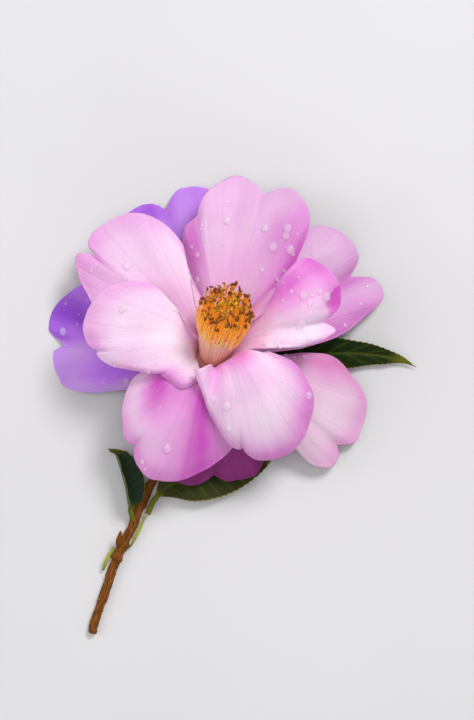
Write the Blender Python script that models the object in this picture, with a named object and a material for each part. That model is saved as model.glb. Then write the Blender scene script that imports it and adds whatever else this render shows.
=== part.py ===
"""Camellia: one open semi-double flower, cut with a short length of its twig and three leaves.

The flower lies on a table, face up and leaning back a little. Six inner petals and five reflexed outer ones
stand in three close rings on the receptacle, around a tube of fused stamens with the pistil inside it.
Five sepals and three bracts close the back. The twig runs out along the table with its leaves and buds.

All sizes are in millimetres. Z is up and the table is z = 0 until the plant is centred on its footprint.
"""

import math
from dataclasses import dataclass, field

import bmesh
import bpy
import numpy as np

MM = 0.001

# ---- driving dimensions -------------------------------------------------------------------------
FLOWER_HEIGHT = 20.0  # height of the flower's seat above the table
FLOWER_LEAN = math.radians(38)  # the flower's axis away from the vertical
FLOWER_HEADING = math.radians(73)  # the way the axis leans, counter-clockwise from +X

TUBE_BASE_RADIUS = 4.2  # outside of the stamen tube where it stands on the receptacle
TUBE_RIM_RADIUS = 6.4
TUBE_HEIGHT = 17.0
TUBE_WALL = 0.9
FILAMENT_COLUMNS = 34  # every other one grows from the outside of the rim, the rest from the inside
FILAMENT_REACH = 29.5  # height of the anthers in the middle of the brush
PISTIL_HEIGHT = 26.5

PETAL_ROOT_THICKNESS = 0.6
PETAL_THICKNESS = 0.75
PETAL_RIM_THICKNESS = 0.4
RING_PITCH = 0.9  # from one ring of petals to the next
INNER_RING_RADIUS = 5.2
CREASE_WIDTH = 0.16  # of a petal's fold, as a share of its length
NOTCH_FROM = 0.62  # share of a petal's length from which a notch draws it in
FIT_GAP = 0.3  # clearance between neighbouring pieces

RECEPTACLE_FLANK_RADIUS = 8.3
PEDICEL_RADIUS = 1.6
PEDICEL_END = -13.0  # height of the pedicel's lower end along the flower's axis

TWIG_RADIUS = 1.4
LEAF_THICKNESS = 0.45
LEAF_STALK_RADIUS = 0.85

PETAL_RAYS = 18
PETAL_STEPS = 6


# ---- small geometry helpers ---------------------------------------------------------------------
def unit(vector):
    vector = np.asarray(vector, float)
    return vector / np.linalg.norm(vector, axis=-1, keepdims=True)


def spline(points, knots_at):
    """Points of a Catmull-Rom curve through `points`, at the given positions counted in points."""
    points = np.asarray(points, float)
    ends = np.vstack([2 * points[0] - points[1], points, 2 * points[-1] - points[-2]])
    knots_at = np.clip(np.asarray(knots_at, float), 0, len(points) - 1)
    index = np.minimum(knots_at.astype(int), len(points) - 2)
    u = (knots_at - index)[:, None]
    a, b, c, d = (ends[index + k] for k in range(4))
    return 0.5 * (2 * b + (c - a) * u + (2 * a - 5 * b + 4 * c - d) * u**2 + (3 * b - a - 3 * c + d) * u**3)


def evenly_along(points, count):
    """`count` knot positions that divide the curve through `points` into equal lengths."""
    fine = np.linspace(0, len(points) - 1, 40 * len(points))
    curve = spline(points, fine)
    length = np.concatenate([[0], np.cumsum(np.linalg.norm(np.diff(curve, axis=0), axis=1))])
    return np.interp(np.linspace(0, length[-1], count), length, fine)


def smooth_step(x):
    x = np.clip(x, 0, 1)
    return x * x * (3 - 2 * x)


def bell(x, middle, width):
    return np.exp(-(((x - middle) / width) ** 2))


def flower_axes():
    """The flower's own axes in the table's frame, as three columns; the third points out of its face."""
    axis = np.array(
        [
            math.sin(FLOWER_LEAN) * math.cos(FLOWER_HEADING),
            math.sin(FLOWER_LEAN) * math.sin(FLOWER_HEADING),
            math.cos(FLOWER_LEAN),
        ]
    )
    first = unit(np.array([1.0, 0, 0]) - axis[0] * axis)
    return np.stack([first, np.cross(axis, first), axis], axis=1)


AXES = flower_axes()
SEAT = np.array([0.0, 0.0, FLOWER_HEIGHT])


def round_the_axis(azimuth):
    """Unit vectors out from the flower's axis at these azimuths (radians), in the table's frame."""
    azimuth = np.asarray(azimuth, float)
    return np.stack([np.cos(azimuth), np.sin(azimuth)], axis=-1) @ AXES[:, :2].T


def cone_height(radius):
    """Height of the receptacle's flank at this radius, along the flower's axis."""
    return INNER_RING_RADIUS - radius


# ---- meshes -------------------------------------------------------------------------------------
def material(name, colour, roughness):
    made = bpy.data.materials.get(name)
    if made is None:
        made = bpy.data.materials.new(name)
        made.use_nodes = True
        shader = made.node_tree.nodes["Principled BSDF"]
        shader.inputs["Base Color"].default_value = (*colour, 1.0)
        shader.inputs["Roughness"].default_value = roughness
        shader.inputs["Metallic"].default_value = 0.0
    return made


def solid(name, points, faces, finish, parent):
    """A named object from points in millimetres, shaded smooth."""
    mesh = bpy.data.meshes.new(name)
    mesh.from_pydata((np.asarray(points, float) * MM).tolist(), [], [list(map(int, f)) for f in faces])
    shell = bmesh.new()
    shell.from_mesh(mesh)
    bmesh.ops.recalc_face_normals(shell, faces=shell.faces)
    shell.to_mesh(mesh)
    shell.free()
    mesh.materials.append(finish)
    mesh.shade_smooth()
    made = bpy.data.objects.new(name, mesh)
    bpy.context.scene.collection.objects.link(made)
    made.parent = parent
    return made


def sheet_faces(rows, columns):
    """Faces of two rows-by-columns grids, the upper one first, joined round their four sides."""

    def at(i, j, side):
        return side * rows * columns + i * columns + j

    faces = []
    for i in range(rows - 1):
        for j in range(columns - 1):
            faces.append([at(i, j, 0), at(i + 1, j, 0), at(i + 1, j + 1, 0), at(i, j + 1, 0)])
            faces.append([at(i, j, 1), at(i, j + 1, 1), at(i + 1, j + 1, 1), at(i + 1, j, 1)])
    ring = [(i, 0) for i in range(rows)] + [(rows - 1, j) for j in range(1, columns)]
    ring += [(i, columns - 1) for i in range(rows - 2, -1, -1)] + [(0, j) for j in range(columns - 2, 0, -1)]
    for here, after in zip(ring, ring[1:] + ring[:1], strict=True):
        faces.append([at(*here, 0), at(*here, 1), at(*after, 1), at(*after, 0)])
    return faces


def thickened(grid, thickness):
    """The two sides of a sheet whose middle is `grid` (rows, columns, 3)."""
    along = np.gradient(grid, axis=0)
    across = np.gradient(grid, axis=1)
    normal = unit(np.cross(across, along))
    return np.concatenate([(grid + s * normal * thickness[..., None] / 2).reshape(-1, 3) for s in (1, -1)])


def loft_faces(rings, sides):
    """Faces of a closed tube of `rings` rings of `sides` points, with flat ends."""
    faces = [list(range(sides))[::-1], [(rings - 1) * sides + j for j in range(sides)]]
    for i in range(rings - 1):
        for j in range(sides):
            k = (j + 1) % sides
            faces.append([i * sides + j, i * sides + k, (i + 1) * sides + k, (i + 1) * sides + j])
    return faces


def path_frames(path, upward):
    """Side and up vectors across a path, with up kept as near to `upward` as the path allows."""
    tangent = unit(np.gradient(path, axis=0))
    side = unit(np.cross(tangent, upward))
    return tangent, side, np.cross(side, tangent)


# ---- petals -------------------------------------------------------------------------------------
@dataclass
class Petal:
    """One petal: a fan of curved rays from its claw on the receptacle to its margin.

    `margin` runs counter-clockwise from one shoulder round the tip to the other, in the table's frame and
    measured from the point below the flower's seat. A notch is (position counted in margin points, depth,
    width). A dent is (ray from -1 to 1, its width, place along the ray, its width, lift).
    """

    name: str
    ring: int  # 0 inside, 2 outside
    azimuth: float
    half_claw: float  # half of the claw's width, in degrees round the axis
    margin: list
    lean: float  # of the claw away from the flower's axis, degrees
    rise: float  # how far the claw carries on before it flares
    droop: tuple  # slope down at the tip and at the sides, degrees
    hug: float = 0.55  # the most of a short ray's length that its claw may carry on for
    notches: list = field(default_factory=list)
    dents: list = field(default_factory=list)
    crease: list = field(default_factory=list)  # (ray, place) pairs along a raised fold
    crease_lift: float = 0.0

    def knots(self, rays):
        """Positions along the margin, one for each ray, with one exactly in each notch."""
        knots = evenly_along(self.margin, rays + 1)
        for at, _, _ in self.notches:
            knots[np.argmin(np.abs(knots - at))] = at
        return knots

    def notched(self, rim):
        """How far each ray's end is drawn towards the claw in the notches."""
        drawn = np.zeros(len(rim))
        for at, depth, width in self.notches:
            drawn += depth * np.exp(-np.linalg.norm(rim - spline(self.margin, [at]), axis=1) / width)
        return drawn[:, None]

    def surface(self, rays, steps):
        """The petal's middle surface, (rays + 1, steps + 1, 3), from claw to margin."""
        knots = self.knots(rays)
        q = 2 * knots / (len(self.margin) - 1) - 1
        radius = INNER_RING_RADIUS + self.ring * RING_PITCH
        out = round_the_axis(np.radians(self.azimuth + q * self.half_claw))
        seat = cone_height(radius) + FIT_GAP + PETAL_ROOT_THICKNESS
        roots = SEAT + out * radius + AXES[:, 2] * seat
        rim = spline(self.margin, knots)
        reach = np.linalg.norm(rim - roots, axis=1)[:, None]
        lean = math.radians(self.lean)
        leave = AXES[:, 2] * math.cos(lean) + out * math.sin(lean)
        flat = unit((rim - roots) * [1, 1, 0])
        slope = np.radians(self.droop[0] + (self.droop[1] - self.droop[0]) * q**2)[:, None]
        arrive = flat * np.cos(slope) - np.array([0, 0, 1.0]) * np.sin(slope)
        first = roots + leave * np.minimum(self.rise, self.hug * reach)
        second = rim - arrive * 0.36 * reach
        t = np.linspace(0, 1, steps + 1)
        weights = np.stack([(1 - t) ** 3, 3 * t * (1 - t) ** 2, 3 * t**2 * (1 - t), t**3])
        grid = np.einsum("kt,kqx->qtx", weights, np.stack([roots, first, second, rim]))
        ends = (self.notched(rim) * unit(rim - roots))[:, None]
        grid -= ends * (smooth_step((t - NOTCH_FROM) / (1 - NOTCH_FROM)) ** 1.5)[None, :, None]
        for ray, ray_width, place, place_width, lift in self.dents:
            swell = bell(q[:, None], ray, ray_width) * bell(t, place, place_width)
            grid[..., 2] += lift * swell * smooth_step(t * 4)
        if self.crease:
            fold = np.interp(q, *np.array(self.crease).T)[:, None]
            grid[..., 2] += self.crease_lift * bell(t, fold, CREASE_WIDTH) * smooth_step(t * 4)
        return grid

    def thickness(self, steps):
        t = np.linspace(0, 1, steps + 1)
        grow = PETAL_ROOT_THICKNESS + (PETAL_THICKNESS - PETAL_ROOT_THICKNESS) * smooth_step(t * 3)
        return grow + (PETAL_RIM_THICKNESS - PETAL_THICKNESS) * smooth_step(t * 1.6 - 0.6)

    def body(self):
        grid = self.surface(PETAL_RAYS, PETAL_STEPS)
        depth = np.broadcast_to(self.thickness(PETAL_STEPS), grid.shape[:2])
        return thickened(grid, depth), sheet_faces(*grid.shape[:2])


PETALS = [
    Petal(
        "petal_curled", 0, 25, 36,
        [(15.5, 4.8, 30), (21, 4.2, 30), (29, 4.8, 29.5), (37, 8.5, 29), (35, 12, 29.5), (38.5, 17, 32),
         (37, 24, 33.5), (32, 28.8, 33), (26.5, 29.8, 32), (21, 22, 32), (15, 13.5, 31)],
        lean=14, rise=17, droop=(10, 10),
        notches=[(4, 2, 1.3)],
        dents=[(0.06, 0.2, 0.9, 0.1, -1)],
        crease=[(-1, 0.95), (-0.77, 0.63), (-0.5, 0.45), (0.1, 0.47), (0.3, 0.53), (0.5, 0.72), (0.7, 1),
               (1, 1.1)],
        crease_lift=1.0,
    ),
    Petal(
        "petal_front", 0, 300, 38,
        [(-5.2, -2.8, 33), (-3, -9, 30.5), (-0.5, -16, 27.5), (4.7, -25, 24), (10, -28.3, 22),
         (16, -30.5, 21), (24, -27.7, 22), (29.5, -19, 24), (30, -10, 27), (25, -1, 29.5), (17, 2.5, 31)],
        lean=4, rise=28, droop=(50, 20), hug=0.85,
        notches=[(4, 2.5, 1.4)],
    ),
    Petal(
        "petal_left", 0, 168, 36,
        [(-6.1, 8.7, 28.6), (-13.4, 19.2, 29), (-20, 23, 28.5), (-30, 22.2, 27.5), (-37, 15.5, 26),
         (-38.3, 8, 25), (-36, 3, 25.5), (-30, -1.7, 26), (-16, -4.6, 28.2), (-9.2, -8.4, 28.8),
         (-3, -5.6, 28.4)],
        lean=10, rise=17, droop=(25, 15), hug=0.42,
        notches=[(6, 2, 1.4), (8, 1.1, 1.2)],
        dents=[(0.1, 0.06, 0.92, 0.14, -0.7)],
    ),
    Petal(
        "petal_top", 1, 78, 24,
        [(14, 10, 24), (24, 27, 27), (29.5, 42, 25), (25, 51, 20), (16.5, 52.3, 17), (7.5, 56, 15),
         (-0.8, 51.4, 18), (-3.8, 46.4, 20), (-4.8, 42.9, 20.4), (-8.2, 39.6, 20.2), (-9.2, 31.5, 19.6),
         (-8, 24, 19.6), (-2.5, 10, 20)],
        lean=20, rise=11, droop=(15, 0),
        notches=[(4, 2.5, 1.4)],
        dents=[(0.5, 0.3, 0.74, 0.28, -1.1), (-0.81, 0.12, 0.85, 0.28, -2.2)],
    ),
    Petal(
        "petal_upper_left", 1, 138, 24,
        [(-1.2, 12.4, 23.4), (-3.4, 19.3, 24.4), (-7, 27, 24.6), (-8.8, 35, 23.7), (-16, 42, 22),
         (-26, 44.2, 19.5), (-34.5, 40, 17), (-37.7, 35.7, 17), (-37.2, 33, 17.3), (-40.6, 32.3, 15.6),
         (-41.4, 28.5, 15), (-38.4, 21, 16.5), (-30, 9, 19), (-14, 4, 22)],
        lean=18, rise=13, droop=(20, 5), hug=0.36,
        notches=[(8, 2.8, 1.1)],
    ),
    Petal(
        "petal_lower_left", 1, 237, 36,
        [(-12, -3, 24), (-22, -4, 20), (-26.5, -12, 20), (-26.8, -21, 21), (-24.8, -27.5, 20),
         (-20, -34.8, 18), (-12, -37, 17), (-3, -33.6, 18), (5, -28, 19), (10, -19, 21), (8, -9, 23)],
        lean=22, rise=9, droop=(30, 10),
        notches=[(4, 2.5, 1.4)],
    ),
    Petal(
        "petal_back_top", 2, 112, 25,
        [(8, 14, 16), (10, 30, 13), (6, 45, 9), (-1, 52.5, 5), (-9.5, 53, 3), (-15, 48.5, 3),
         (-21.5, 47.8, 3), (-27.5, 43, 5), (-27, 28, 9), (-10, 14, 14)],
        lean=32, rise=9, droop=(20, 10),
        notches=[(5, 2.5, 1.4)],
    ),
    Petal(
        "petal_back_left", 2, 178, 25,
        [(-15, 9, 14), (-28, 22, 9), (-39, 23.5, 5), (-48, 17.5, 2), (-50.5, 10, 1), (-48, 5, 1),
         (-51, 0, 0), (-47, -7.5, 1), (-39, -10, 3), (-27, -9, 7), (-12, -6.5, 13)],
        lean=32, rise=7, droop=(20, 10),
        notches=[(5, 2.5, 1.4)],
    ),
    Petal(
        "petal_back_bottom", 2, 268, 25,
        [(-10, -12.5, 19.5), (-15, -25, 14), (-12.7, -35.5, 10), (-6, -38.3, 8), (0.6, -36.6, 8),
         (7, -37, 8), (13.8, -34.5, 9), (16, -26, 11), (9, -13, 14)],
        lean=36, rise=6, droop=(25, 10),
        notches=[(4, 1.5, 1.2)],
    ),
    Petal(
        "petal_back_lower_right", 2, 333, 24,
        [(12, -12, 17), (20, -21, 13), (26.3, -28, 9), (31, -32.3, 7), (36.3, -32.8, 5.5), (39.3, -30, 5),
         (39.5, -26.8, 5), (44.5, -24.5, 4), (47.8, -15, 4), (44.5, -7, 6), (36, 1.5, 9), (21, 1.5, 15)],
        lean=32, rise=9, droop=(25, 10),
        notches=[(6, 1.5, 1.4)],
    ),
    Petal(
        "petal_back_right", 2, 27, 24,
        [(18, 2.5, 18), (31, 4.5, 15), (40, 8, 11), (46.5, 13, 8), (52.5, 19, 4), (50, 25, 3),
         (44.5, 27, 3), (45, 32.5, 5), (40.5, 38.5, 7), (32, 41, 9), (24, 34.5, 11), (12, 14, 16)],
        lean=32, rise=9, droop=(20, 10),
        notches=[(6, 2.5, 1.4)],
    ),
]


# ---- the middle of the flower -------------------------------------------------------------------
def in_flower(points):
    """Points given along the flower's own axes, in the table's frame."""
    return SEAT + np.asarray(points, float) @ AXES.T


def lathe(profile, sides):
    """A body turned round the flower's axis from (radius, height) pairs, bottom first."""
    turn = 2 * np.pi * np.arange(sides) / sides
    rings = [np.stack([r * np.cos(turn), r * np.sin(turn), np.full(sides, h)], axis=1) for r, h in profile]
    return in_flower(np.concatenate(rings)), loft_faces(len(profile), sides)


def receptacle():
    edge, flat = RECEPTACLE_FLANK_RADIUS - 0.3, 2.2
    top = [(edge, cone_height(edge)), (flat, cone_height(flat))]
    back = [(PEDICEL_RADIUS, PEDICEL_END), (PEDICEL_RADIUS, -11.0), (2.6, -9.2), (5.2, -7.2), (7.4, -5.4)]
    return lathe([*back, (RECEPTACLE_FLANK_RADIUS, -4.1), *top], 28)


def pistil():
    foot = cone_height(2.2) + FIT_GAP
    profile = [(1.6, foot), (2.1, foot + 1.6), (1.8, foot + 3.6), (0.8, foot + 5.2), (0.6, foot + 7)]
    return lathe([*profile, (0.6, PISTIL_HEIGHT - 1.5), (1.1, PISTIL_HEIGHT)], 12)


def stamens():
    """The fused tube, whose rim grows into filaments with an anther on each."""
    rng = np.random.default_rng(11)
    columns = FILAMENT_COLUMNS
    turn = 2 * np.pi * np.arange(columns) / columns
    foot = cone_height(TUBE_BASE_RADIUS - TUBE_WALL) + 1.5 * FIT_GAP

    def ring(radius, height):
        return np.stack([radius * np.cos(turn), radius * np.sin(turn), np.full(columns, height)], axis=1)

    levels = [(TUBE_BASE_RADIUS, foot), (TUBE_BASE_RADIUS + 0.4, 7.0), (TUBE_BASE_RADIUS + 1.2, 12.0)]
    levels.append((TUBE_RIM_RADIUS, TUBE_HEIGHT))
    rings = [ring(r, h) for r, h in levels]  # up the outside, over the rim, down the inside
    rings.append(ring(TUBE_RIM_RADIUS - TUBE_WALL / 2, TUBE_HEIGHT))
    rings += [ring(r - TUBE_WALL, h) for r, h in levels[::-1]]
    points = list(np.concatenate(rings))
    faces = []
    rim = len(levels) - 1
    for i in range(len(rings)):
        for j in range(columns):
            below, above, k = i * columns, (i + 1) % len(rings) * columns, (j + 1) % columns
            quad = [below + j, below + k, above + k, above + j]
            grows = (i == rim and j % 2 == 0) or (i == rim + 1 and j % 2 == 1)
            if not grows:
                faces.append(quad)
                continue
            outside = i == rim
            corners = np.array([points[v] for v in quad])
            middle = corners.mean(axis=0)
            out = unit(middle * [1, 1, 0])
            side = np.cross([0, 0, 1.0], out)
            end_radius = rng.uniform(6.6, 8.6) if outside else rng.uniform(1.6, 5.4)
            end = out * end_radius + [0, 0, FILAMENT_REACH - 0.03 * end_radius**2 + rng.uniform(-1.2, 1.2)]
            swing = rng.uniform(-0.3, 0.3)
            for step, half in ((0.45, 0.2), (0.9, 0.17), (0.93, 0.5), (1.0, 0.55), (1.07, 0.3)):
                centre = middle + (end - middle) * step + side * swing * step**2
                centre = centre + out * (0.8 if outside else -0.8) * step * (1 - step)
                first = len(points)
                corners = ((-1, 1), (1, 1), (1, -1), (-1, -1))
                points += [centre + (side * a + out * b) * half for a, b in corners]
                grown = [first, first + 1, first + 2, first + 3]
                for n in range(4):
                    m = (n + 1) % 4
                    faces.append([quad[n], quad[m], grown[m], grown[n]])
                quad = grown
            faces.append(quad)
    return in_flower(np.array(points)), faces


def scale_leaf(azimuth, radius, height, length, width, lean, curl, rows=7, columns=9):
    """A sepal or a bract: a cupped scale that starts on a ring round the receptacle."""
    u = np.linspace(0, 1, rows + 1)
    v = np.linspace(-1, 1, columns)
    angle = np.radians(lean + curl * u)
    step = length / rows
    r = radius + np.concatenate([[0], np.cumsum(np.sin(angle[:-1]) * step)])
    h = height + np.concatenate([[0], np.cumsum(np.cos(angle[:-1]) * step)])
    half = width / 2 * np.sqrt(np.maximum(1 - np.maximum(u - 0.35, 0) ** 2 / 0.43, 0.02)) * (0.75 + 0.5 * u)
    turn = np.radians(azimuth) + v[None] * (half / np.maximum(r, 3))[:, None]
    r, h = r[:, None], np.repeat(h[:, None], columns, 1)
    grid = np.stack([r * np.cos(turn), r * np.sin(turn), h], -1)
    inward = -round_the_axis(np.radians(azimuth)) @ AXES
    grid = grid + inward * (0.05 * half[:, None] * v**2)[..., None]
    thick = 0.7 - 0.3 * np.abs(v)[None] * np.ones((rows + 1, 1))
    return thickened(in_flower(grid), thick), sheet_faces(rows + 1, columns)


# azimuth, radius and height of the foot, lean of the foot, length
SEPALS = [(73, 9.0, -4.0, 60, 10.5), (145, 9.0, -4.0, 86, 9.0), (214, 8.2, -6.6, 144, 6.3),
          (289, 8.4, -6.0, 148, 7.0), (1, 9.0, -4.0, 90, 9.5)]
BRACTS = [(110, 6.0, -7.8, 78, 6.0), (247, 5.2, -8.6, 128, 4.5), (350, 6.0, -7.8, 96, 6.5)]


# ---- the twig, its leaves and its buds ----------------------------------------------------------
def swept(path, radii, sides, rings):
    """A round body along a smooth path, with its radius from point to point."""
    knots = evenly_along(path, rings)
    centre = spline(path, knots)
    radius = np.interp(knots, range(len(radii)), radii)
    _, side, up = path_frames(centre, np.array([0, 0, 1.0]))
    turn = 2 * np.pi * np.arange(sides) / sides
    across = side[:, None] * np.cos(turn)[None, :, None] + up[:, None] * np.sin(turn)[None, :, None]
    return (centre[:, None] + across * radius[:, None, None]).reshape(-1, 3), loft_faces(rings, sides)


def twig():
    top, neck, bend = (in_flower([0, 0, PEDICEL_END - drop]) for drop in (2 * FIT_GAP, 1.8, 4.2))
    path = [top, neck, bend, (-8.5, -17.5, 3.9), (-12.8, -26, 2.8), (-17.5, -35.3, 2.2), (-20.1, -40.6, 2.0),
            (-22.8, -46, 1.8), (-24.5, -50.3, 1.7), (-26.4, -54.4, 1.8), (-28.0, -58.0, 1.9),
            (-30.5, -64, 1.7), (-33, -71, 1.5), (-34.8, -76.5, 1.5), (-36.6, -81.5, 1.5),
            (-37.2, -84.6, 1.5)]
    radii = [1.6, 1.55, 1.5, 1.45, 1.4, 1.4, 1.45, 1.6, 1.4, 1.35, 1.65, 1.4, 1.35, 1.35, 1.35, 1.35]
    return swept(path, radii, 12, 34)


@dataclass
class Leaf:
    """A blade with its stalk, grown in one: a round stalk that flattens into a folded blade."""

    name: str
    path: list  # along the midrib from the foot of the stalk to the tip
    blade_from: float  # share of the path where the blade starts
    half_width: float
    fold: float  # how far each half of the blade rises from the midrib, degrees
    tilt: tuple  # roll about the midrib at the blade's foot and at its tip, degrees
    widest: float = 0.42
    taper: float = 0.85  # 1 draws the tip straight, more makes it longer and thinner

    def outline(self, t):
        """Half the blade's width at a share `t` of its length."""
        shape = np.where(
            t < self.widest, np.sin(np.pi / 2 * np.clip(t / self.widest, 0, 1)) ** 0.8,
            np.cos(np.pi / 2 * np.clip((t - self.widest) / (1 - self.widest), 0, 1)) ** self.taper)
        return self.half_width * shape

    def build(self, rings=22, sides=14):
        knots = evenly_along(self.path, rings)
        share = np.linspace(0, 1, rings)
        centre = spline(self.path, knots)
        _, side, up = path_frames(centre, np.array([0, 0, 1.0]))
        t = np.clip((share - self.blade_from) / (1 - self.blade_from), 0, 1)
        stalk = LEAF_STALK_RADIUS * (1 - 0.65 * smooth_step(t * 1.5))
        half = np.maximum(self.outline(t), np.where(t < 0.5, LEAF_STALK_RADIUS, 0.25))
        thick = np.maximum(LEAF_THICKNESS / 2, np.where(half > 2 * LEAF_STALK_RADIUS, stalk * 0.5, stalk))
        thick = np.where(t > 0.97, 0.2, thick)
        turn = 2 * np.pi * np.arange(sides) / sides
        across = half[:, None] * np.cos(turn)
        keel = np.clip((half - LEAF_STALK_RADIUS) / 2, 0, 1)[:, None]
        height = thick[:, None] * np.sin(turn) + keel * np.abs(across) * math.tan(math.radians(self.fold))
        roll = np.radians(self.tilt[0] + (self.tilt[1] - self.tilt[0]) * t)[:, None]
        x = across * np.cos(roll) - height * np.sin(roll)
        y = across * np.sin(roll) + height * np.cos(roll)
        points = centre[:, None] + side[:, None] * x[..., None] + up[:, None] * y[..., None]
        return points.reshape(-1, 3), loft_faces(rings, sides)


LEAVES = [
    Leaf(
        "leaf_right",
        [(-2.9, -13.6, 4.3), (5, -9.6, 2.0), (15, -4, 2.2), (27, 0.5, 3.2), (38, 2.2, 3.8), (49, 1.8, 3.6),
         (58, 0.2, 2.4), (63, -2.2, 1.2)],
        blade_from=0.2, half_width=5.6, fold=12, tilt=(-25, -25), taper=1.12,
    ),
    Leaf(
        "leaf_lower",
        [(-19.4, -47.2, 2.6), (-17.5, -42.6, 3.0), (-12.5, -38.6, 3.2), (-4, -36, 3.2), (5, -34.2, 3.0),
         (12.5, -32.2, 2.6), (18.8, -30.2, 2.0)],
        blade_from=0.14, half_width=7.6, fold=8, tilt=(12, 4),
    ),
    Leaf(
        "leaf_left",
        [(-26.7, -48.6, 3.0), (-26.1, -45.0, 4.3), (-26.4, -40.1, 4.9), (-27.8, -33.9, 5.0),
         (-29.7, -28.9, 4.2), (-32.2, -27.4, 2.6)],
        blade_from=0.1, half_width=3.8, fold=50, tilt=(-45, -45),
    ),
]

SHOOT = [(-21.0, -48.2, 2.7), (-22.0, -51.3, 2.4), (-23.9, -55.2, 2.0), (-25.6, -58.0, 1.6)]
STUB = [(-28.9, -56.6, 4.5), (-28.6, -54.8, 4.9), (-28.2, -52.6, 5.4)]
BROKEN_STALK = [(-31.0, -58.6, 3.2), (-32.3, -61.0, 3.3), (-33.2, -63.4, 2.6), (-33.9, -65.2, 1.4)]


# ---- the plant ----------------------------------------------------------------------------------
def clear_scene():
    for old in list(bpy.data.objects):
        bpy.data.objects.remove(old)


def pieces():
    """Every piece as (name, points, faces, finish), in the flower's own placing."""
    petal_pink = material("inner_petal", (0.83, 0.47, 0.72), 0.5)
    petal_violet = material("outer_petal", (0.55, 0.28, 0.72), 0.5)
    for petal in PETALS:
        yield petal.name, *petal.body(), petal_violet if petal.ring == 2 else petal_pink
    yield "receptacle", *receptacle(), material("green_flesh", (0.16, 0.24, 0.05), 0.55)
    yield "stamens", *stamens(), material("stamen", (0.82, 0.42, 0.08), 0.6)
    yield "pistil", *pistil(), material("style", (0.72, 0.66, 0.35), 0.5)
    silk = material("silky_scale", (0.42, 0.38, 0.26), 0.7)
    for number, (azimuth, radius, height, lean, length) in enumerate(SEPALS, start=1):
        body = scale_leaf(azimuth, radius, height, length, 9.6, lean, -8)
        yield f"sepal_{number}", *body, silk
    for number, (azimuth, radius, height, lean, length) in enumerate(BRACTS, start=1):
        body = scale_leaf(azimuth, radius, height, length, 6.4, lean, -10)
        yield f"bract_{number}", *body, silk
    bark = material("bark", (0.2, 0.09, 0.03), 0.75)
    yield "twig", *twig(), bark
    green = material("leaf", (0.035, 0.075, 0.012), 0.35)
    for leaf in LEAVES:
        yield leaf.name, *leaf.build(), green
    shoot_green = material("young_green", (0.28, 0.3, 0.03), 0.5)
    yield "shoot", *swept(SHOOT, [0.3, 0.45, 0.45, 0.3], 8, 10), shoot_green
    yield "stub", *swept(STUB, [0.7, 0.9, 0.35], 8, 8), bark
    yield "broken_stalk", *swept(BROKEN_STALK, [0.45, 0.5, 0.5, 0.3], 8, 10), shoot_green


def main():
    clear_scene()
    plant = bpy.data.objects.new("camellia", None)
    bpy.context.scene.collection.objects.link(plant)
    made = list(pieces())
    every = np.concatenate([np.asarray(points) for _, points, _, _ in made])
    low, high = every.min(axis=0), every.max(axis=0)
    to_footprint = np.array([(low[0] + high[0]) / 2, (low[1] + high[1]) / 2, low[2]])
    for name, points, faces, finish in made:
        solid(name, np.asarray(points) - to_footprint, faces, finish, plant)


main()
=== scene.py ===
"""A cut camellia lying face up: petals, stamens, sepals, leaves and twig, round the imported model.

Lengths are in millimetres until a mesh is made, and places are counted from the point on the table that is
straight below the flower's seat, with +X to the right, +Y up the table and +Z off it.
"""

from __future__ import annotations

import logging
import math
from dataclasses import dataclass, field
from enum import Enum
from typing import Any, Sequence

import bmesh
import bpy
import numpy as np
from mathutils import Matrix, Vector


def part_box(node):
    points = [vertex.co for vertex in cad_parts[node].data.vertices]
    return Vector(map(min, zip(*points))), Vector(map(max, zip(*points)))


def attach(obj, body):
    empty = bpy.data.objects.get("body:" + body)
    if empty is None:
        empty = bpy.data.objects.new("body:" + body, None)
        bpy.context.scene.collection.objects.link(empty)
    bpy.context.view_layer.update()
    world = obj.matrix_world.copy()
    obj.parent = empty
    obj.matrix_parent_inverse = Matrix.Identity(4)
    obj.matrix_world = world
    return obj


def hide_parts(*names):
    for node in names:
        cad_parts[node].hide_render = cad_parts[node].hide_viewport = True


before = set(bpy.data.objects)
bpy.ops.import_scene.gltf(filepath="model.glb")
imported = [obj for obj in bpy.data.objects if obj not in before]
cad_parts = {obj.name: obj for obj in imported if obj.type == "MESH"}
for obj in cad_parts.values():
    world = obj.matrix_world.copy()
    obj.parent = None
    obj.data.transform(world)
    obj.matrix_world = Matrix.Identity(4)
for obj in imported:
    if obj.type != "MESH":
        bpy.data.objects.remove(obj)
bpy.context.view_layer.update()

Array = np.ndarray
Point = tuple[float, float, float]

log = logging.getLogger("camellia")
MM = 0.001
BODY = "root"


# ---- numbers -------------------------------------------------------------------------------------
def unit(vector: Any) -> Array:
    """Vectors of length one.

    Args:
        vector: one vector or an array of them, in the last axis.
    Returns:
        The same directions with length one.
    """
    vector = np.asarray(vector, float)
    return vector / np.maximum(np.linalg.norm(vector, axis=-1, keepdims=True), 1e-12)


def spline(points: Any, at: Any) -> Array:
    """Points of a smooth curve through some points.

    Args:
        points: the points the curve goes through.
        at: positions along it, counted in points from 0.
    Returns:
        One point for each position.
    """
    points = np.asarray(points, float)
    ends = np.concatenate([[2 * points[0] - points[1]], points, [2 * points[-1] - points[-2]]])
    at = np.clip(np.asarray(at, float), 0, len(points) - 1)
    index = np.minimum(at.astype(int), len(points) - 2)
    u = (at - index).reshape(-1, *[1] * (points.ndim - 1))
    a, b, c, d = (ends[index + k] for k in range(4))
    return 0.5 * (2 * b + (c - a) * u + (2 * a - 5 * b + 4 * c - d) * u**2 + (3 * b - a - 3 * c + d) * u**3)


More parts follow.
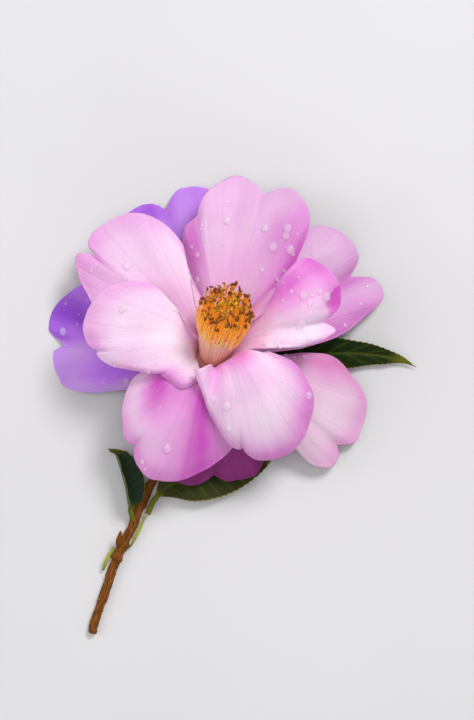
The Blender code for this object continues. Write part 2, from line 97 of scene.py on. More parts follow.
def evenly_along(points: Any, count: int) -> Array:
    """Positions that divide the curve through some points into equal lengths.

    Args:
        points: the points the curve goes through.
        count: how many positions.
    Returns:
        The positions, counted in points.
    """
    fine = np.linspace(0, len(points) - 1, 60 * len(points))
    curve = spline(points, fine)
    length = np.concatenate([[0], np.cumsum(np.linalg.norm(np.diff(curve, axis=0), axis=1))])
    return np.interp(np.linspace(0, length[-1], count), length, fine)


def smooth_step(x: Any) -> Array:
    """A smooth climb from 0 to 1 as x goes from 0 to 1."""
    x = np.clip(x, 0, 1)
    return x * x * (3 - 2 * x)


def bell(x: Any, middle: float, width: float) -> Array:
    """A bell curve of height 1."""
    return np.exp(-(((np.asarray(x, float) - middle) / width) ** 2))


def waver(x: Any, seed: int, waves: float, octaves: int = 4) -> Array:
    """A smooth irregular line between about -1 and 1.

    Args:
        x: positions, 0 to 1 along the line.
        seed: which line.
        waves: how many of its longest waves fit between 0 and 1.
        octaves: how many finer waves are laid over them.
    Returns:
        The line's value at each position.
    """
    rng = np.random.default_rng(seed)
    total = np.zeros(np.shape(x))
    for k in range(octaves):
        turns = waves * 1.7**k * rng.uniform(0.85, 1.15)
        total = total + np.sin(2 * np.pi * (turns * np.asarray(x) + rng.uniform())) * 0.62**k
    return total / 1.9


def lumps(points: Array, seed: int, size: float) -> Array:
    """Smooth irregular lumps in space.

    Args:
        points: places in millimetres, in the last axis.
        seed: which pattern.
        size: rough distance between lumps.
    Returns:
        A value between about -1 and 1 for each place.
    """
    rng = np.random.default_rng(seed)
    total = np.zeros(points.shape[:-1])
    for _ in range(9):
        way = unit(rng.normal(size=3)) * 2 * np.pi / size * rng.uniform(0.6, 1.5)
        total = total + np.sin(points @ way + rng.uniform(0, 2 * np.pi))
    return total / 4.2


# ---- meshes --------------------------------------------------------------------------------------
@dataclass
class Shell:
    """A closed mesh in the making: points in millimetres, faces, and a number per point for each pattern."""

    points: Array
    faces: list[Sequence[int]]
    patterns: dict[str, Array] = field(default_factory=dict)

    def piece(self, name: str, materials: Sequence[bpy.types.Material],
              face_slots: Array | None = None) -> bpy.types.Object:
        """Makes the object.

        Args:
            name: the piece's name.
            materials: its materials.
            face_slots: which material each face has, where there is more than one.
        Returns:
            The object, at the origin, unturned and unscaled.
        """
        mesh = bpy.data.meshes.new(name)
        mesh.from_pydata((self.points * MM).tolist(), [], [tuple(int(v) for v in f) for f in self.faces])
        for key, values in self.patterns.items():
            layer = mesh.attributes.new(key, "FLOAT", "POINT")
            layer.data.foreach_set("value", np.ascontiguousarray(values, np.float32).ravel())
        for material in materials:
            mesh.materials.append(material)
        if face_slots is not None:
            mesh.polygons.foreach_set("material_index", np.ascontiguousarray(face_slots, np.int32))
        shell = bmesh.new()
        shell.from_mesh(mesh)
        bmesh.ops.recalc_face_normals(shell, faces=shell.faces)
        shell.to_mesh(mesh)
        shell.free()
        mesh.shade_smooth()
        made = bpy.data.objects.new(name, mesh)
        bpy.context.scene.collection.objects.link(made)
        return made


def sheet_shell(grid: Array, thickness: Array, patterns: dict[str, Array]) -> Shell:
    """A sheet with real thickness and a rounded edge.

    Args:
        grid: the sheet's middle, (rows, columns, 3); its face looks along columns crossed with rows.
        thickness: the thickness at each point of the grid.
        patterns: numbers at each point of the grid.
    Returns:
        The closed shell, with the pattern "back" 0 on its face and 1 behind.
    """
    rows, columns = grid.shape[:2]
    along, across = np.gradient(grid, axis=0), np.gradient(grid, axis=1)
    normal = unit(np.cross(across, along))
    half = thickness[..., None] / 2
    count = rows * columns
    ring = [(i, 0) for i in range(rows)] + [(rows - 1, j) for j in range(1, columns)]
    ring += [(i, columns - 1) for i in range(rows - 2, -1, -1)] + [(0, j) for j in range(columns - 2, 0, -1)]
    at = np.array(ring)
    out = np.zeros_like(grid)
    out[0] += unit(grid[0] - grid[1])
    out[-1] += unit(grid[-1] - grid[-2])
    out[:, 0] += unit(grid[:, 0] - grid[:, 1])
    out[:, -1] += unit(grid[:, -1] - grid[:, -2])
    edge = grid[at[:, 0], at[:, 1]] + unit(out[at[:, 0], at[:, 1]]) * half[at[:, 0], at[:, 1]] * 0.9
    points = np.concatenate([(grid + normal * half).reshape(-1, 3), (grid - normal * half).reshape(-1, 3),
                             edge])
    index = np.arange(count).reshape(rows, columns)
    a, b, c, d = (index[:-1, :-1], index[1:, :-1], index[1:, 1:], index[:-1, 1:])
    face = np.stack([a, b, c, d], -1).reshape(-1, 4)
    back = np.stack([a, d, c, b], -1).reshape(-1, 4) + count
    rim = at[:, 0] * columns + at[:, 1]
    after = np.roll(rim, -1)
    middle = 2 * count + np.arange(len(rim))
    middle_after = np.roll(middle, -1)
    upper = np.stack([rim, middle, middle_after, after], -1)
    lower = np.stack([middle, rim + count, after + count, middle_after], -1)
    laid = {}
    for key, values in patterns.items():
        values = np.broadcast_to(values, (rows, columns))
        laid[key] = np.concatenate([values.ravel(), values.ravel(), values[at[:, 0], at[:, 1]]])
    laid["back"] = np.concatenate([np.zeros(count), np.ones(count), np.full(len(rim), 0.5)])
    return Shell(points, [*face.tolist(), *back.tolist(), *upper.tolist(), *lower.tolist()], laid)


def tube_shell(rings: Array, patterns: dict[str, Array], closed: bool = True) -> Shell:
    """A round body from rings of points, with a cap at each end.

    Args:
        rings: (rings, sides, 3).
        patterns: numbers, one for each point of each ring.
        closed: whether the ends are capped.
    Returns:
        The closed shell.
    """
    count, sides = rings.shape[:2]
    index = np.arange(count * sides).reshape(count, sides)
    following = np.roll(index, -1, axis=1)
    quads = np.stack([index[:-1], following[:-1], following[1:], index[1:]], -1).reshape(-1, 4).tolist()
    laid = {key: np.broadcast_to(v, (count, sides)).ravel() for key, v in patterns.items()}
    points = rings.reshape(-1, 3)
    if closed:
        first, last = len(points), len(points) + 1
        points = np.concatenate([points, [rings[0].mean(axis=0)], [rings[-1].mean(axis=0)]])
        laid = {key: np.concatenate([v, [v[0]], [v[-1]]]) for key, v in laid.items()}
        for j in range(sides):
            quads.append([first, int(following[0, j]), int(index[0, j])])
            quads.append([last, int(index[-1, j]), int(following[-1, j])])
    return Shell(points, quads, laid)


def across_path(centre: Array) -> tuple[Array, Array]:
    """The sideways and upward directions across a path.

    Args:
        centre: the path's points.
    Returns:
        The side and up vectors at each point.
    """
    tangent = unit(np.gradient(centre, axis=0))
    side = unit(np.cross(tangent, np.array([0, 0, 1.0])))
    return side, np.cross(side, tangent)


def present(piece: bpy.types.Object, slot: str | None, *nodes: str) -> bpy.types.Object:
    """Puts a finished piece on the model's body, in place of its solids.

    Args:
        piece: the finished piece.
        slot: not used.
        nodes: the solids it stands for.
    Returns:
        The piece.
    """
    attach(piece, BODY)
    if nodes:
        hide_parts(*nodes)
    log.info("%-24s %6d faces", piece.name, len(piece.data.polygons))
    return piece


# ---- finishes ------------------------------------------------------------------------------------
def colour(code: str) -> tuple[float, float, float, float]:
    """An sRGB hex colour as the linear colour that a shader wants."""
    parts = [int(code.lstrip("#")[k : k + 2], 16) / 255 for k in (0, 2, 4)]
    linear = [p / 12.92 if p <= 0.04045 else ((p + 0.055) / 1.055) ** 2.4 for p in parts]
    return (linear[0], linear[1], linear[2], 1.0)


def fill_ramp(ramp: bpy.types.ColorRamp, stops: Sequence[tuple[float, str]]) -> None:
    """Gives a colour ramp its (position, hex colour) stops."""
    elements = ramp.elements
    while len(elements) < len(stops):
        elements.new(0.5)
    for element, (position, code) in zip(elements, stops):
        element.position = position
        element.color = colour(code)


def add(tree: bpy.types.NodeTree, kind: str, inputs: dict | None = None, **settings: Any) -> bpy.types.Node:
    """Adds a node.

    Args:
        tree: where to add it.
        kind: its type.
        inputs: a value or an output socket for each input, by name or number.
        settings: its other settings; stops are a colour ramp's (position, hex colour) pairs.
    Returns:
        The node.
    """
    node = tree.nodes.new(kind)
    for key, value in settings.items():
        if key == "stops":
            fill_ramp(node.color_ramp, value)
        else:
            setattr(node, key, value)
    for key, value in (inputs or {}).items():
        socket = node.inputs[key]
        if isinstance(value, bpy.types.NodeSocket):
            tree.links.new(value, socket)
        else:
            socket.default_value = value
    return node


def new_surface(name: str) -> tuple[bpy.types.Material, bpy.types.NodeTree, bpy.types.Node]:
    """A material with an empty Principled surface.

    Args:
        name: the material's name.
    Returns:
        The material, its node tree and its shader.
    """
    material = bpy.data.materials.new(name)
    material.use_nodes = True
    tree = material.node_tree
    return material, tree, tree.nodes["Principled BSDF"]


@dataclass(frozen=True)
class PetalFinish:
    """Fresh camellia petal: waxy, finely veined tissue into which light sinks, with painted shade in the
    deeper pink of its folds and throat.
    """

    name: str
    pale: str
    middle: str
    deep: str
    throat: str
    vein_count: float = 26.0

    def make(self) -> bpy.types.Material:
        """Builds the material; a pattern of pink and painted shade says how deep the pink is at each point.
        """
        material, tree, shader = new_surface(self.name)
        ray, along, pink_and_shade = (add(tree, "ShaderNodeAttribute",
                                 attribute_name=key).outputs["Fac"] for key in ("ray", "along", "pink_and_shade"))
        # Streaks run out from the claw and are about 1 mm apart at the margin.
        lane = add(tree, "ShaderNodeCombineXYZ",
                   {0: add(tree, "ShaderNodeMath", {0: ray, 1: 15.0}, operation="MULTIPLY").outputs[0],
                    1: add(tree, "ShaderNodeMath", {0: along, 1: 1.6}, operation="MULTIPLY").outputs[0]})
        streak = add(tree, "ShaderNodeTexNoise",
                     {"Vector": lane.outputs[0], "Scale": 1.6, "Detail": 4.0, "Roughness": 0.6})
        place = add(tree, "ShaderNodeTexCoord").outputs["Object"]
        cloud = add(tree, "ShaderNodeTexNoise", {"Vector": place, "Scale": 95.0,
            "Detail": 3.0})  # 10 mm patches
        bend = add(tree, "ShaderNodeTexNoise", {"Vector": place, "Scale": 160.0, "Detail": 2.0})
        wander = add(tree, "ShaderNodeMath", {0: bend.outputs["Fac"], 1: 1.6,
            2: add(tree, "ShaderNodeMath", {0: ray, 1: self.vein_count}, operation="MULTIPLY").outputs[0]},
            operation="MULTIPLY_ADD").outputs[0]
        vein = add(tree, "ShaderNodeMath",
                   {0: add(tree, "ShaderNodeMath",
                           {0: add(tree, "ShaderNodeMath", {0: wander}, operation="SINE").outputs[0]},
                           operation="ABSOLUTE").outputs[0], 1: 9.0}, operation="POWER").outputs[0]
        fine_wander = add(tree, "ShaderNodeMath",
                          {0: bend.outputs["Fac"], 1: 3.4, 2: add(tree, "ShaderNodeMath",
                              {0: ray, 1: self.vein_count * 2.6}, operation="MULTIPLY").outputs[0]},
                              operation="MULTIPLY_ADD").outputs[0]
        fine_vein = add(tree, "ShaderNodeMath",
                        {0: add(tree, "ShaderNodeMath",
                                {0: add(tree, "ShaderNodeMath", {0: fine_wander},
                                        operation="SINE").outputs[0]}, operation="ABSOLUTE").outputs[0],
                                        1: 5.0}, operation="POWER").outputs[0]
        outer = add(tree, "ShaderNodeMath", {0: along, 1: 0.25}, operation="SUBTRACT",
                    use_clamp=True).outputs[0]
        veins = add(tree, "ShaderNodeMath",
                    {0: add(tree, "ShaderNodeMath", {0: fine_vein, 1: outer},
                            operation="MULTIPLY").outputs[0], 1: 0.7,
                            2: add(tree, "ShaderNodeMath", {0: vein, 1: 0.6},
                                   operation="MULTIPLY").outputs[0]}, operation="MULTIPLY_ADD").outputs[0]
        # the tone starts from the petal's pink with painted shade in it
        tone = add(tree, "ShaderNodeMath",
                   {0: add(tree, "ShaderNodeMath", {0: streak.outputs["Fac"], 1: 0.5},
                           operation="SUBTRACT").outputs[0], 1: 0.025, 2: pink_and_shade},
                           operation="MULTIPLY_ADD").outputs[0]
        tone = add(tree, "ShaderNodeMath",
                   {0: add(tree, "ShaderNodeMath", {0: cloud.outputs["Fac"], 1: 0.5},
                           operation="SUBTRACT").outputs[0], 1: 0.12, 2: tone},
                           operation="MULTIPLY_ADD").outputs[0]
        tone = add(tree, "ShaderNodeMath", {0: veins, 1: 0.04, 2: tone}, operation="MULTIPLY_ADD",
                   use_clamp=True).outputs[0]
        tissue = add(tree, "ShaderNodeValToRGB", {0: tone},
                     stops=[(0.0, self.pale), (0.45, self.middle), (0.9, self.deep)]).outputs["Color"]
        claw = add(tree, "ShaderNodeMath", {0: 1.0,
            1: add(tree, "ShaderNodeMath", {0: along, 1: 6.0}, operation="MULTIPLY").outputs[0]},
            operation="SUBTRACT", use_clamp=True).outputs[0]
        tissue = add(tree, "ShaderNodeMix",
                     {0: add(tree, "ShaderNodeMath", {0: claw, 1: 0.75}, operation="MULTIPLY").outputs[0],
                      6: tissue, 7: colour(self.throat)}, data_type="RGBA").outputs[2]
        back = add(tree, "ShaderNodeMix",
                   {0: add(tree, "ShaderNodeMath",
                           {0: add(tree, "ShaderNodeAttribute", attribute_name="back").outputs["Fac"],
                            1: 0.35}, operation="MULTIPLY").outputs[0], 6: tissue, 7: colour(self.deep)},
                            data_type="RGBA", blend_type="MULTIPLY").outputs[2]
        tree.links.new(back, shader.inputs["Base Color"])
        cells = add(tree, "ShaderNodeTexVoronoi", {"Vector": place, "Scale": 2600.0})  # 0.4 mm waxy cells
        relief = add(tree, "ShaderNodeMath", {0: veins, 1: -0.8,
            2: add(tree, "ShaderNodeMath", {0: cells.outputs["Distance"], 1: 0.25},
                   operation="MULTIPLY").outputs[0]}, operation="MULTIPLY_ADD").outputs[0]
        relief = add(tree, "ShaderNodeMath", {0: streak.outputs["Fac"], 1: 0.4, 2: relief},
                     operation="MULTIPLY_ADD").outputs[0]
        bump = add(tree, "ShaderNodeBump", {"Height": relief, "Strength": 0.25, "Distance": 0.00025})
        tree.links.new(bump.outputs[0], shader.inputs["Normal"])
        tree.links.new(add(tree, "ShaderNodeMath", {0: cloud.outputs["Fac"], 1: 0.2, 2: 0.38},
                           operation="MULTIPLY_ADD").outputs[0], shader.inputs["Roughness"])
        shader.inputs["IOR"].default_value = 1.4
        shader.inputs["Subsurface Weight"].default_value = 0.35
        shader.inputs["Subsurface Radius"].default_value = (1.0, 0.35, 0.85)
        shader.inputs["Subsurface Scale"].default_value = 0.0015
        shader.inputs["Sheen Weight"].default_value = 0.12
        shader.inputs["Sheen Roughness"].default_value = 0.4
        return material


@dataclass(frozen=True)
class LeafFinish:
    """Camellia leaf: a thick, lacquered evergreen blade, paler below, with a yellow toothed edge and, where
    asked, a painted bluish sheen in its colour.
    """

    name: str = "camellia_leaf"
    dark: str = "#12240A"
    fresh: str = "#20380A"
    vein: str = "#55601A"
    edge: str = "#8A8418"
    under: str = "#5E6B2A"
    sheen: str = "#1A3A2C"
    # how much of the painted bluish sheen is mixed into the colour
    painted_sheen_amount: float = 0.0

    def make(self) -> bpy.types.Material:
        """Builds the material; the vein and rim patterns place the network and the margin."""
        material, tree, shader = new_surface(self.name)
        place = add(tree, "ShaderNodeTexCoord").outputs["Object"]
        cloud = add(tree, "ShaderNodeTexNoise", {"Vector": place, "Scale": 220.0,
            "Detail": 4.0})  # 4 mm mottling
        green = add(tree, "ShaderNodeMix", {0: cloud.outputs["Fac"], 6: colour(self.dark),
            7: colour(self.fresh)}, data_type="RGBA").outputs[2]
        # painted sheen: a bluish reflection mixed into the leaf's colour
        green = add(tree, "ShaderNodeMix", {0: self.painted_sheen_amount, 6: green, 7: colour(self.sheen)},
                    data_type="RGBA").outputs[2]
        vein = add(tree, "ShaderNodeAttribute", attribute_name="vein").outputs["Fac"]
        green = add(tree, "ShaderNodeMix",
                    {0: add(tree, "ShaderNodeMath", {0: vein, 1: 0.65}, operation="MULTIPLY",
                            use_clamp=True).outputs[0], 6: green, 7: colour(self.vein)},
                            data_type="RGBA").outputs[2]
        green = add(tree, "ShaderNodeMix",
                    {0: add(tree, "ShaderNodeMath",
                            {0: add(tree, "ShaderNodeAttribute", attribute_name="rim").outputs["Fac"],
                             1: 0.8}, operation="MULTIPLY", use_clamp=True).outputs[0], 6: green,
                             7: colour(self.edge)}, data_type="RGBA").outputs[2]
        green = add(tree, "ShaderNodeMix",
                    {0: add(tree, "ShaderNodeMath",
                            {0: add(tree, "ShaderNodeAttribute", attribute_name="under").outputs["Fac"],
                             1: 0.7}, operation="MULTIPLY").outputs[0], 6: green, 7: colour(self.under)},
                             data_type="RGBA").outputs[2]
        tree.links.new(green, shader.inputs["Base Color"])
        net = add(tree, "ShaderNodeTexVoronoi", {"Vector": place, "Scale": 900.0},
                  feature="DISTANCE_TO_EDGE")  # 1 mm net
        relief = add(tree, "ShaderNodeMath",
                     {0: add(tree, "ShaderNodeMath", {0: net.outputs["Distance"], 1: 0.12},
                             operation="MINIMUM").outputs[0], 1: 3.0,
                             2: add(tree, "ShaderNodeMath", {0: vein, 1: -0.5},
                                    operation="MULTIPLY").outputs[0]}, operation="MULTIPLY_ADD").outputs[0]
        bump = add(tree, "ShaderNodeBump", {"Height": relief, "Strength": 0.4, "Distance": 0.0002})
        tree.links.new(bump.outputs[0], shader.inputs["Normal"])
        tree.links.new(add(tree, "ShaderNodeMath", {0: cloud.outputs["Fac"], 1: 0.16, 2: 0.36},
                           operation="MULTIPLY_ADD").outputs[0], shader.inputs["Roughness"])
        shader.inputs["Coat Weight"].default_value = 0.02
        shader.inputs["Coat Roughness"].default_value = 0.3
        shader.inputs["Specular IOR Level"].default_value = 0.1
        shader.inputs["Subsurface Weight"].default_value = 0.08
        shader.inputs["Subsurface Scale"].default_value = 0.001
        return material


@dataclass(frozen=True)
class BarkFinish:
    """Young camellia twig: thin tan-brown bark with lengthwise cracks and small pale pores."""

    name: str = "twig_bark"
    light: str = "#9E5C0E"
    brown: str = "#6C3C06"
    dark: str = "#321C04"
    pore: str = "#A8803E"

    def make(self) -> bpy.types.Material:
        """Builds the material; the length pattern is the distance along the twig in millimetres."""
        material, tree, shader = new_surface(self.name)
        length, turn_x, turn_y = (add(tree, "ShaderNodeAttribute",
                                      attribute_name=key).outputs["Fac"] for key in ("length", "turn_x",
                                          "turn_y"))
        lane = add(tree, "ShaderNodeCombineXYZ",
                   {0: add(tree, "ShaderNodeMath", {0: turn_x, 1: 2.2}, operation="MULTIPLY").outputs[0],
                    1: add(tree, "ShaderNodeMath", {0: turn_y, 1: 2.2}, operation="MULTIPLY").outputs[0],
                    2: add(tree, "ShaderNodeMath", {0: length, 1: 0.16}, operation="MULTIPLY").outputs[0]})
        grain = add(tree, "ShaderNodeTexNoise", {"Vector": lane.outputs[0], "Scale": 2.2, "Detail": 6.0,
            "Roughness": 0.65})
        place = add(tree, "ShaderNodeTexCoord").outputs["Object"]
        pores = add(tree, "ShaderNodeTexVoronoi",
                    {"Vector": place, "Scale": 420.0})  # a pore about every 2.4 mm
        pore = add(tree, "ShaderNodeMath", {0: pores.outputs["Distance"], 1: 0.16},
                   operation="LESS_THAN").outputs[0]
        skin = add(tree, "ShaderNodeValToRGB", {0: grain.outputs["Fac"]},
                   stops=[(0.3, self.dark), (0.48, self.brown), (0.68, self.light)]).outputs["Color"]
        skin = add(tree, "ShaderNodeMix",
                   {0: add(tree, "ShaderNodeMath", {0: pore, 1: 0.7}, operation="MULTIPLY").outputs[0],
                    6: skin, 7: colour(self.pore)}, data_type="RGBA").outputs[2]
        tree.links.new(skin, shader.inputs["Base Color"])
        relief = add(tree, "ShaderNodeMath", {0: pore, 1: 0.4, 2: grain.outputs["Fac"]},
                     operation="MULTIPLY_ADD").outputs[0]
        bump = add(tree, "ShaderNodeBump", {"Height": relief, "Strength": 0.6, "Distance": 0.0004})
        tree.links.new(bump.outputs[0], shader.inputs["Normal"])
        tree.links.new(add(tree, "ShaderNodeMath", {0: grain.outputs["Fac"], 1: -0.3, 2: 0.8},
                           operation="MULTIPLY_ADD").outputs[0], shader.inputs["Roughness"])
        shader.inputs["Specular IOR Level"].default_value = 0.2
        return material


@dataclass(frozen=True)
class TissueFinish:
    """Plain soft plant tissue whose colour runs from one end of a piece to the other."""

    name: str
    stops: tuple[tuple[float, str], ...]
    roughness: float = 0.5
    grain: float = 300.0
    glow: float = 0.2
    variation: float = 0.15
    # how strongly the colour is also given off as light, a painted glow
    light: float = 0.0

    def make(self) -> bpy.types.Material:
        """Builds the material; the tint pattern says where on the colour run a point is."""
        material, tree, shader = new_surface(self.name)
        place = add(tree, "ShaderNodeTexCoord").outputs["Object"]
        cloud = add(tree, "ShaderNodeTexNoise", {"Vector": place, "Scale": self.grain, "Detail": 3.0})
        tone = add(tree, "ShaderNodeMath",
                   {0: add(tree, "ShaderNodeMath", {0: cloud.outputs["Fac"], 1: 0.5},
                           operation="SUBTRACT").outputs[0], 1: self.variation,
                           2: add(tree, "ShaderNodeAttribute", attribute_name="tint").outputs["Fac"]},
                           operation="MULTIPLY_ADD", use_clamp=True).outputs[0]
        tissue = add(tree, "ShaderNodeValToRGB", {0: tone}, stops=self.stops).outputs["Color"]
        tree.links.new(tissue, shader.inputs["Base Color"])
        if self.light:  # painted glow: the colour is also given off as light, in place of what shines through threads too thin to shade each other
            tree.links.new(tissue, shader.inputs["Emission Color"])
            shader.inputs["Emission Strength"].default_value = self.light
        bump = add(tree, "ShaderNodeBump", {"Height": cloud.outputs["Fac"], "Strength": 0.3,
            "Distance": 0.0002})
        tree.links.new(bump.outputs[0], shader.inputs["Normal"])
        shader.inputs["Roughness"].default_value = self.roughness
        shader.inputs["Subsurface Weight"].default_value = self.glow
        shader.inputs["Subsurface Radius"].default_value = (1.0, 0.6, 0.3)
        shader.inputs["Subsurface Scale"].default_value = 0.001
        return material


@dataclass(frozen=True)
class WaterFinish:
    """Rain water: smooth and partly see-through, so a drop shows the petal through it, lightened by painted
    white, with a painted darker rim and a small glint.
    """

    name: str = "rain_water"
    # white that lightens the petal under the drop as painted light; the rim colour is painted shade at the
    # drop's edge
    clear: str = "#FFFFFF"
    rim: str = "#C084C4"

    def make(self) -> bpy.types.Material:
        """Builds the material; the rim is painted a darker pink, in place of the petal's colour that a lens
        gathers there.
        """
        material, tree, shader = new_surface(self.name)
        # painted light and shade: white lightens the drop's middle, a darker pink is painted where it turns
        # away from view
        facing = add(tree, "ShaderNodeLayerWeight", {"Blend": 0.5}).outputs["Facing"]
        edge = add(tree, "ShaderNodeMath", {0: facing, 1: 3.0}, operation="POWER").outputs[0]
        tree.links.new(add(tree, "ShaderNodeMix", {0: edge, 6: colour(self.clear), 7: colour(self.rim)},
                           data_type="RGBA").outputs[2], shader.inputs["Base Color"])
        tree.links.new(add(tree, "ShaderNodeMath", {0: edge, 1: 0.4, 2: 0.24}, operation="MULTIPLY_ADD",
                           use_clamp=True).outputs[0], shader.inputs["Alpha"])
        shader.inputs["Roughness"].default_value = 0.04
        shader.inputs["IOR"].default_value = 1.333
        shader.inputs["Coat Weight"].default_value = 1.0
        shader.inputs["Coat Roughness"].default_value = 0.02
        return material


@dataclass(frozen=True)
class FloorFinish:
    """Plain pale paint on a flat board, with a faint unevenness."""

    name: str = "pale_floor"

    def make(self) -> bpy.types.Material:
        """Builds the material."""
        material, tree, shader = new_surface(self.name)
        place = add(tree, "ShaderNodeTexCoord").outputs["Object"]
        cloud = add(tree, "ShaderNodeTexNoise", {"Vector": place, "Scale": 8.0, "Detail": 2.0})
        tree.links.new(add(tree, "ShaderNodeValToRGB", {0: cloud.outputs["Fac"]},
                           stops=[(0.3, "#D6D5D6"), (0.7, "#DBDADB")]).outputs["Color"],
                           shader.inputs["Base Color"])
        shader.inputs["Roughness"].default_value = 0.7
        return material


# ---- the flower's place --------------------------------------------------------------------------
@dataclass(frozen=True)
class Standpoint:
    """Where the flower's seat is and which way its face looks."""

    height: float = 20.0
    lean: float = math.radians(38)
    heading: float = math.radians(73)
    seat_from_receptacle: Point = (0.738, 2.172, 3.755)

    @property
    def axes(self) -> Array:
        """The flower's own axes as columns; the third points out of its face."""
        axis = np.array([math.sin(self.lean) * math.cos(self.heading),
                         math.sin(self.lean) * math.sin(self.heading), math.cos(self.lean)])
        first = unit(np.array([1.0, 0, 0]) - axis[0] * axis)
        return np.stack([first, np.cross(axis, first), axis], axis=1)

    @property
    def foot(self) -> Array:
        """The point on the table below the seat, in the model's frame, in millimetres."""
        low, high = (np.array(corner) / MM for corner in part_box("receptacle"))
        return (low + high) / 2 + np.array(self.seat_from_receptacle) - [0, 0, self.height]

    def out(self, azimuth: Any) -> Array:
        """Directions out from the flower's axis at these azimuths, in radians."""
        azimuth = np.asarray(azimuth, float)
        return np.stack([np.cos(azimuth), np.sin(azimuth)], axis=-1) @ self.axes[:, :2].T

    def seated(self, points: Any) -> Array:
        """Points given along the flower's own axes, counted from the table below its seat."""
        return np.array([0, 0, self.height]) + np.asarray(points, float) @ self.axes.T


# ---- petals --------------------------------------------------------------------------------------
class PetalKind(Enum):
    """The petals' finishes, from the fresh inner ones to the one darkened with painted shade for the petal
    at the bottom; two others are copies made darker or lighter with painted shade and light.
    """

    ROSE = PetalFinish("petal_rose", "#F8DCF0", "#E8A0DA", "#C645B6", "#EFB8C4")
    BLUSH = PetalFinish("petal_blush", "#F2D0E4", "#E4A2CE", "#D05CA8", "#E8A4BC")
    LAVENDER = PetalFinish("petal_lavender", "#D6AEF6", "#BA7CE6", "#9240C6", "#C58FDE")
    # a darker lilac copy of the rose: partly the petals' lilac tone, partly painted shade that dims petals
    # facing the key light
    LILAC_WITH_PAINTED_SHADE = PetalFinish("petal_lilac_painted_shade", "#E4C6DC", "#D492CC", "#BC46AC", "#EFB8C4")
    # a brighter, more saturated copy of the lavender: partly the petal's violet tone, partly painted light
    # for a petal that lies in shade
    VIOLET_WITH_PAINTED_LIGHT = PetalFinish("petal_violet_painted_light", "#E2B2FF", "#CA82FC", "#9040D0", "#C58FDE")
    # a dark copy, painted shade for the bottom petal that lies in deep shade
    MAGENTA_PAINTED_SHADE = PetalFinish("petal_magenta_painted_shade", "#B0389E", "#881872", "#5C0E56", "#A0588C")


@dataclass
class PetalTones:
    """The petals' materials, each made once."""

    made: dict[PetalKind, bpy.types.Material] = field(default_factory=dict)

    def of(self, kind: PetalKind) -> bpy.types.Material:
        """The material of one kind of petal."""
        if kind not in self.made:
            self.made[kind] = kind.value.make()
        return self.made[kind]


